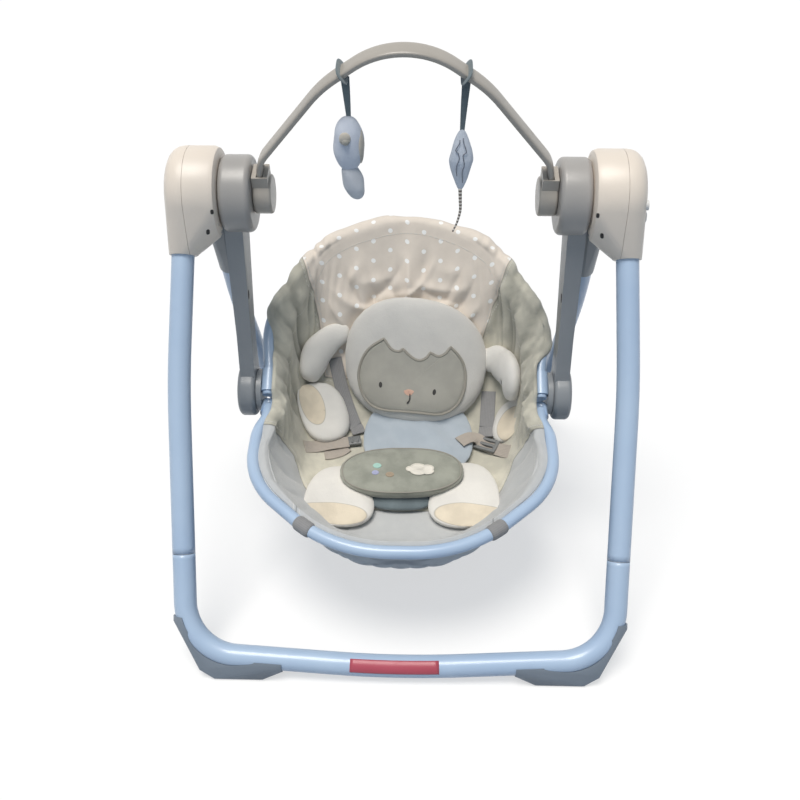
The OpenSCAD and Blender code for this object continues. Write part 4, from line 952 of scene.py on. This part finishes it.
class Form:
    """Stuffed oval on the dish. u and v run along its turned axes; an edge seam runs round it at a height, with a flat
    underside and a crown: height = seam + crown * sin(phi) ** full at share cos(phi) ** full of the outline."""

    def __init__(self, c, a, b, spin, seam, crown, power=2.4, taper=0.0, full=0.8, lump=1.0):
        self.c, self.a, self.b, self.spin = np.array(c, float), a, b, np.radians(spin)
        self.seam, self.crown, self.power, self.taper, self.full, self.lump = seam, crown, power, taper, full, lump

    def plan(self, r, t):
        """Plan point at a share r of the outline, at an angle t round it"""
        k = superoval(t, self.power)
        v = r * k * self.b * np.sin(t)
        x, s = turn(r * k * self.a * np.cos(t) * (1 + self.taper * v / self.b), v, self.spin)
        return self.c[0] + x, self.c[1] + s

    def raised(self, x, s, high):
        """Point over the underside, which sinks into the padding"""
        return seat_pt(x, s, dish(x, s) + SINK + high)

    def wobble(self, x, s):
        """Uneven stuffing"""
        return self.lump * (0.9 * np.sin(x / 15 + 0.7) * np.sin(s / 17) + 0.5 * np.sin(x / 7 + s / 11))

    def top(self, x, s, lift=0.0):
        """Point of the crown over a plan point"""
        u, v = turn(x - self.c[0], s - self.c[1], -self.spin)
        u = u / (1 + self.taper * v / self.b)
        r = ((np.abs(u) / self.a) ** self.power + (np.abs(v) / self.b) ** self.power) ** (1 / self.power)
        phi = np.arccos(np.clip(r, 0, 1) ** (1 / self.full))
        high = self.seam + self.crown * np.sin(phi) ** self.full + self.wobble(x, s) * np.sin(phi)
        return self.raised(x, s, high + lift)

    def rows(self):
        """Rows from the middle of the underside over the seam, which is drawn in and puckered, to the crown"""
        t = full_turn(160)[None]
        degrees = np.concatenate([np.linspace(-88, -4, 16), np.linspace(-1.5, 1.5, 3), np.linspace(4, 88, 48)])[:, None]
        phi = np.radians(degrees)
        r = np.cos(phi) ** self.full * (1 - 0.012 * np.exp(-(degrees / 3) ** 2))
        r = r * (1 + 0.0025 * np.sin(31 * t + 3 * np.sin(3 * t)) * np.exp(-(degrees / 22) ** 2))
        x, s = self.plan(r, t)
        up, down = np.maximum(np.sin(phi), 0), np.maximum(-np.sin(phi), 0)
        high = self.seam * (1 - down ** 0.6) + self.crown * up ** self.full + self.wobble(x, s) * up
        return self.raised(x, s, high), phi


def stuffed(name, form, material, replaces=(), sole=None):
    """Piece of a form; sole gives the plan place, half sizes and turn in degrees of an oval panel on its upper face"""
    P, phi = form.rows()
    value = np.full(P.shape[:2], -1.0)
    if sole:
        at_x, at_s, half_u, half_v, spin = sole
        x, s, _ = to_seat(P)
        u, v = turn(x - at_x, s - at_s, -np.radians(spin))
        value = np.where(phi > -0.05, 1 - np.hypot(u / half_u, v / half_v), -1)
    value = value.reshape(-1)
    obj = piece(name, grid(P), material, "seat", replaces, {"sole": np.append(value, [value[0], value[-1]])})


def ear(side, points):
    """Stuffed ear on the dish: an oval section swept along plan points (x, s, half width), rounded off at its ends"""
    line = spline(points, 60)
    path, normal = on_seat(line[:, 0], line[:, 1], 7 + EAR_FLAT * line[:, 2] * 0.9)
    ring = circle(1.0, 56)
    pucker = np.sin(line[:, 0] / 6)[:, None] * np.cos(3 * np.arctan2(ring[:, 1], ring[:, 0]))
    width = (line[:, 2] * round_off(60, 10, 0.0009))[:, None] * (1 + 0.03 * pucker)
    shape = grid(sweep(path, width[..., None] * ring * [1, EAR_FLAT], normal))
    plain = {"sole": np.full(len(shape[0]), -1.0)}
    piece(f"ear_{side}", shape, PLUSH, "seat", [f"lamb_ear_{side}"], plain)


HEAD = Form((14, 323), 105, 79, -6, 17, 36, power=2.2, taper=0.07, lump=0.8)
PAD = Form((-2, 148), 86, 41, 2, 27, 12, full=0.7, lump=0.9)
stuffed("head", HEAD, SHADED_HEAD_PLUSH, ["lamb_head"])
stuffed("belly", Form((20, 218), 80, 69, 0, 11, 11, lump=2.6), SHADED_JERSEY, ["lamb_body"])
for name, form, node, sole in (
        ("leg_left", Form((-88, 110), 45, 54, 10, 11, 13, taper=-0.22, lump=1.2), "lamb_legs", (-92, 75, 45, 18, 2)),
        ("leg_right", Form((86, 116), 46, 58, -10, 11, 13, taper=-0.22, lump=1.2), "lamb_legs", (89, 77, 46, 19, -8)),
        ("arm_left", Form((-120, 256), 35, 46, 20, 9, 17), "lamb_arms", (-136, 262, 17, 31, 20)),
        ("arm_right", Form((149, 240), 19, 31, -12, 8, 11), "lamb_arms", (150, 233, 15, 24, -12))):
    stuffed(name, form, PLUSH, [node], sole)
ear("left", [(-84, 374, 13), (-102, 372, 17), (-122, 363, 21), (-141, 345, 24), (-153, 320, 24), (-156, 298, 19)])
ear("right", [(108, 344, 13), (127, 343, 18), (148, 335, 23), (163, 314, 26), (169, 286, 26), (168, 258, 21)])
stuffed("crotch_cushion", PAD, VELOUR, ["crotch_pad"])
# Painted shadow: a dark form under the front of the crotch cushion, for the shade beneath it
stuffed("painted_shadow_under_crotch_cushion", Form((-4, 118), 46, 26, 0, 8, 8, power=3.0, lump=0.5), SHADE)


# Sewn details on the head and the crotch cushion

def applique(name, form, outline, centre, material, lift, rows):
    """Cloth patch laid on a form: rows shrink the outline to its centre; the edge drops into the pile"""
    r = np.linspace(1, 0.02, rows)[:, None, None]
    p = np.array(centre) + r * (np.array(outline, float) - centre)
    top = form.top(p[..., 0], p[..., 1], lift * smooth(1.0, 0.95, r[..., 0]))
    low = form.top(p[..., 0], p[..., 1], -1.2)
    return piece(name, grid(np.concatenate([low[::-1], top])), material, "seat")


def stitched_oval(name, form, c, a, b, spin, material, lift):
    """Patch with an oval outline"""
    t = full_turn(40)
    line = np.array(c) + np.stack(turn(a * np.cos(t), b * np.sin(t), np.radians(spin)), -1)
    applique(name, form, line, c, material, lift, 12)


def cord_on(name, form, line, width, high, material, closed=False):
    """Raised stitching: a flat oval section along plan points on a form"""
    path = form.top(line[:, 0], line[:, 1], 0.5 * high)
    ring = circle(1.0, 14) * [width / 2, high / 2]
    if closed:
        P = sweep(np.concatenate([path[-2:], path, path[:3]]), ring, W_AXIS)[2:-3]
    else:
        P = sweep(path, round_off(len(path), 8, 0.01)[:, None, None] * ring, W_AXIS)
    piece(name, grid(P, loop=closed), material, "seat")


FACE_LINE = np.concatenate([
    spline([(-32, 343), (-53, 333), (-65, 318), (-69, 300), (-63, 279), (-49, 264), (-27, 255), (5, 251), (40, 249),
            (61, 253), (77, 264), (86, 281), (88, 300), (85, 314), (78, 324), (66, 334)], 90)[:-1],
    spline([(66, 334), (57, 325), (47, 322), (36, 326)], 18)[:-1],
    spline([(36, 326), (30, 319), (20, 316), (9, 320), (-4, 330)], 24)[:-1],
    spline([(-4, 330), (-10, 327), (-21, 330), (-32, 343)], 20)[:-1]])
patch = applique("face_patch", HEAD, FACE_LINE, (9, 286), FACE, 2.4, 48)
cord_on("face_edge", HEAD, FACE_LINE, 4.2, 3.0, THREAD, closed=True)
stitched_oval("eye_left", HEAD, (-36, 284.5), 2.7, 4.0, 6, INK, 2.9)
stitched_oval("eye_right", HEAD, (42.5, 274.5), 2.7, 4.0, -14, INK, 2.9)
NOSE = spline([(-2.5, 276), (5, 277.8), (13, 275.5), (12, 272), (6.5, 269), (0, 271.5), (-2.5, 276)], 48)[:-1]
applique("nose", HEAD, NOSE, (5.5, 273.5), PEACH, 2.9, 12)
cord_on("mouth", HEAD, spline([(7, 272), (7, 267), (6, 262.5), (3, 259.5)], 20), 1.8, 5.6, INK)

cord_on("crotch_seam", PAD, np.stack(PAD.plan(0.955, full_turn(160)), -1), 1.8, 1.6, THREAD, closed=True)
CLOUD_AT, bump = (24, 146), full_turn(90)
puffs = 2.6 * np.abs(np.sin(2.5 * bump))
CLOUD = np.stack([CLOUD_AT[0] + (17 + puffs) * np.cos(bump), CLOUD_AT[1] + (7.5 + puffs) * np.sin(bump)], -1)
applique("stitched_cloud", PAD, CLOUD, CLOUD_AT, CREAM, 1.3, 16)
cord_on("cloud_edge", PAD, CLOUD, 1.6, 2.2, CREAM, closed=True)
for name, c, a, b, material in (
        ("mint", (-36, 152), 6, 4.6, MINT), ("lilac", (-38, 140), 5, 3.8, LILAC), ("tan", (-18, 137), 6, 4.4, TAN)):
    stitched_oval(f"stitched_{name}", PAD, c, a, b, 0, material, 1.3)


# Harness buckles

def buckle(x, s, spin, lift):
    """Frame lying on the dish at a plan point, turned by spin degrees: its middle, its two axes and its normal"""
    o, n = on_seat(x, s, lift)
    ex = unit(X_AXIS - (X_AXIS @ n) * n)
    ey, q = np.cross(n, ex), np.radians(spin)
    return o, np.cos(q) * ex + np.sin(q) * ey, -np.sin(q) * ex + np.cos(q) * ey, n


def bar(name, at, start, end, wide, thick, replaces=()):
    """Moulded bar between two points of a buckle's frame"""
    o, a, b, n = at
    line = spline([np.array(start) + (np.array(end) - start) * f for f in (0, 0.04, 0.5, 0.96, 1)], 24)
    path = o + line[:, :1] * a + line[:, 1:2] * b + line[:, 2:] * n
    section = round_off(24, 12, 0.05)[:, None, None] * slab(wide, thick, 4.0)
    piece(name, grid(sweep(path, section, n)), BUCKLE, "seat", replaces)


tongue, ladder = buckle(-73, 211, 11, 14), buckle(120, 206, -28, 15)
bar("belt_tongue", tongue, (-9, 0, 0), (9, 0, 0), 16, 5.5, ["harness_buckles"])
bar("belt_tongue_rib", tongue, (-4, -6, 3), (-4, 6, 3), 3.0, 2.6)
bar("belt_tongue_tip", tongue, (3, -6, 3), (7, 5, 3), 3.0, 2.2)
for key, start, end, wide in (
        ("front", (-18, -9, 0), (18, -9, 0), 5), ("rear", (-18, 9, 0), (18, 9, 0), 5),
        ("middle", (-16, 0, 0), (16, 0, 0), 5), ("left", (-17, -11, 0), (-17, 11, 0), 5),
        ("right", (17, -11, 0), (17, 11, 0), 6)):
    bar(f"ladder_{key}", ladder, start, end, wide, 4.2, ["harness_buckles"])


# Toy bar and toys

BAR_WIDE, BAR_THICK = 23, 7.5
LEAF_X, LEAF_DROP = 65, 88

bar_up = np.array([0, np.cos(BAR_LEAN), np.sin(BAR_LEAN)])
bar_normal = np.cross(X_AXIS, bar_up)
bar_flat = rounded(mirrored([[BAR_X, 19.5], [BAR_X, 48], [92, 150]], [0, 215]), [0, 45, 150, 95, 150, 45, 0], 4.0)
bar_path = np.array([0, 0, HUB_Z]) + bar_flat[:, :1] * X_AXIS + bar_flat[:, 1:] * bar_up
arch = grid(sweep(bar_path, slab(BAR_THICK, BAR_WIDE, 4.0, 44), bar_normal))
piece("toy_arch", arch, SHADED_ARCH_PLASTIC, "toy_bar", ["toy_bar"])


def below_bar(x, y, drop):
    """Point that hangs below the toys' hinges"""
    return x, TOY_Y + y, TOY_Z - drop


def hung_strap(name, top_x, end_x, drop, body):
    """Strap that narrows from the bar down to its toy, 10 mm wide at the top and 5 mm at the toy"""
    mid_x = 0.4 * top_x + 0.6 * end_x
    line = spline([below_bar(top_x, 0, -3), below_bar(mid_x, -0.6, 0.5 * drop), below_bar(end_x, 0, drop)], 24)
    narrow = np.linspace(1, 0.5, 24)[:, None, None] * [1, 0] + [0, 1]
    obj = piece(name, grid(sweep(line, narrow * slab(10, 1.2), Y_AXIS)), SHADE, body)
    span(line)
    0.0075 * span(line)


def plush_oval(name, body, c, r, material, point=0.0, replaces=(), lump=0.03, lean=0.0):
    """Stuffed toy part: x = rx cos(phi) cos(t), y = ry cos(phi) sin(t), z = rz sin(phi), drawn out to points and
    leaning aside, with a seam down each side"""
    t = full_turn(72)[None]
    phi = np.radians(np.linspace(-88, 88, 48))[:, None]
    up, down = np.clip(np.sin(phi), 0, 1), np.clip(-np.sin(phi), 0, 1)
    wide = np.cos(phi) ** 0.9 * (1 - point * down * 0.5) * (1 - point * up * 0.35)
    wide = wide * (1 + lump * np.sin(3 * t + 4 * phi) + 0.5 * lump * np.sin(7 * phi + t))
    seam = 1 - 0.05 * np.exp(-(np.sin(t) / 0.09) ** 2)
    P = np.stack(below_bar(c[0] + r[0] * wide * np.cos(t) - lean * np.sin(phi), c[1] + r[1] * wide * np.sin(t) * seam,
                           -c[2] - r[2] * np.sin(phi) * np.ones_like(t)), -1)
    piece(name, grid(P), material, body, replaces)


hung_strap("left_toy_strap", -65, -62, 42, "toy_left")
plush_oval("left_toy", "toy_left", (-63, 0, -70), (17.5, 14, 31), SHADED_TOY_PLUSH, replaces=["toy_left"])
plush_oval("left_toy_lobe", "toy_left", (-59, 0, -113), (12.5, 10, 22), SHADED_LOBE_PLUSH, lean=4.5)
plush_oval("left_toy_panel", "toy_left", (-49.5, -1, -72), (4.5, 9, 20), PLUSH, point=0.3)
plush_oval("left_toy_knob", "toy_left", (-66, -13.5, -61), (6.5, 4, 7), PLUSH, lump=0.0)
plush_oval("left_toy_muzzle", "toy_left", (-65, -15.6, -64), (4.2, 3.2, 3.8), FACE, lump=0.0)
hung_strap("right_toy_strap", 68, 65, 56, "toy_right")
plush_oval("right_toy", "toy_right", (LEAF_X, 0, -LEAF_DROP), (14, 9, 35), LEAF_PLUSH, 1.0, ["toy_right"])


def leaf_line(name, points):
    """Stitched line on the front of the leaf through points (across, up) from its middle"""
    p = spline(points, 48)
    deep = 9.4 * np.sqrt(np.clip(1 - (p[:, 0] / 15) ** 2 - (p[:, 1] / 37) ** 2, 0, 1))
    path = np.stack(below_bar(LEAF_X + p[:, 0], -deep, LEAF_DROP - p[:, 1]), -1)
    piece(name, grid(sweep(path, circle(0.5, 10), Y_AXIS)), STITCH, "toy_right")


leaf_line("leaf_stitch_right",
          [(1.4, 27), (1.6, 23), (5.4, 12), (2.4, 9.2), (1.8, 6), (3.4, -3.6), (1.4, -10.7), (2.2, -24)])
leaf_line("leaf_stitch_left", [(-2.4, 25), (-2.8, 21), (-6.8, 13.5), (-3.8, 10), (-2.6, 4), (-5.6, -6), (-4.6, -16)])
tail_points = ((65, 0, 121), (65.6, -0.5, 134), (66, 0, 148), (63, 0.5, 162), (58, 0, 174))
tail = spline([below_bar(*p) for p in tail_points], 30)
thin = np.linspace(1, 0.45, 30)[:, None, None]
ribbon = piece("right_toy_ribbon", grid(sweep(tail, thin * circle(2.2, 16), Y_AXIS)), RIBBON, "toy_right")
span(tail)
[tuple(p) for p in tail * MM]

for side, k in SIGNS:
    i = np.argmin(np.abs(bar_path[:, 0] - k * 67))
    ahead = unit(bar_path[i + 1] - bar_path[i - 1])
    ring = slab(BAR_THICK + 2.4, BAR_WIDE + 2.4, 4.0, 48)
    path = bar_path[i] + ring[:, :1] * np.cross(ahead, bar_normal) + ring[:, 1:] * bar_normal
    P = sweep(np.concatenate([path[-2:], path, path[:2]]), slab(11, 1.4, 4.0, 16), ahead)[2:-2]
    loop = piece(f"bar_loop_{side}", grid(P, loop=True), SHADE, "toy_bar", ["toy_loops"])
    span(np.concatenate([path, path[:1]]))


# Stage, light and camera

bpy.ops.mesh.primitive_plane_add(size=12, location=(0, 0, 0))
floor = bpy.context.object
floor.name = "floor"


def floor_material():
    """Pale floor that throws little light back. The camera sees part of it as a glow, so that it stays white."""
    def build(t):
        grain = t.noise(t.coords("Object"), 30.0, 4.0)
        pale = t.mix(grain, rgb(0.94, 0.94, 0.94), rgb(0.96, 0.96, 0.96))
        return {"Base Color": t.mix(t.shown(), rgb(0.30, 0.35, 0.42), pale), "Height": grain}
    material = shader("floor", 0.00002, {"Roughness": 0.9}, build)
    t, nodes = Tree(material.node_tree), material.node_tree.nodes
    glow = t.times(t.node("LightPath", {}).outputs["Is Camera Ray"], 0.6)
    both = t.add("MixShader", {0: glow, 1: nodes["Principled BSDF"].outputs[0], 2: t.add("Emission", {})})
    t.tree.links.new(both, nodes["Material Output"].inputs["Surface"])
    return material


def lamp(name, kind, energy, colour, place, tilt, **settings):
    """Light at a place, tilted"""
    light = bpy.data.lights.new(name, kind)
    light.energy, light.color = energy, colour
    for key, value in settings.items():
        setattr(light, key, value)
    obj = in_scene(name, light)
    obj.location, obj.rotation_euler = place, tilt


floor.data.materials.append(floor_material())
lamp("overhead", "SUN", 2.95, (1.0, 0.957, 0.895), (0, 0, 0), np.radians([14, -8, 0]), angle=np.radians(28))
aim = unit(np.array([0.4, 2.4, -1.3]))
lamp("front", "AREA", 5, (0.80, 0.90, 1.0), (-0.4, -2.4, 1.6), (np.arccos(-aim[2]), 0, np.arctan2(-aim[0], aim[1])),
     shape="SQUARE", size=2.4)

world = bpy.data.worlds.new("studio")
bpy.context.scene.world = world
world.use_nodes = True
world.node_tree.nodes.clear()
sky = Tree(world.node_tree)
soft = sky.add("Background", {"Color": rgb(0.66, 0.82, 1.0), "Strength": 0.28})
plain = sky.add("Background", {"Color": rgb(1, 1, 1)})
sky.node("OutputWorld", {0: sky.add("MixShader", {0: sky.shown(), 1: soft, 2: plain})})

camera = bpy.data.cameras.new("camera")
camera.lens, camera.sensor_width = 40.5, 36
eye = in_scene("camera", camera)
eye.location, eye.rotation_euler = (0.0219, -1.0712, 0.8904), np.radians([58, 0, 1.5])
bpy.context.scene.camera = eye
bpy.context.scene.view_settings.view_transform = "Standard"
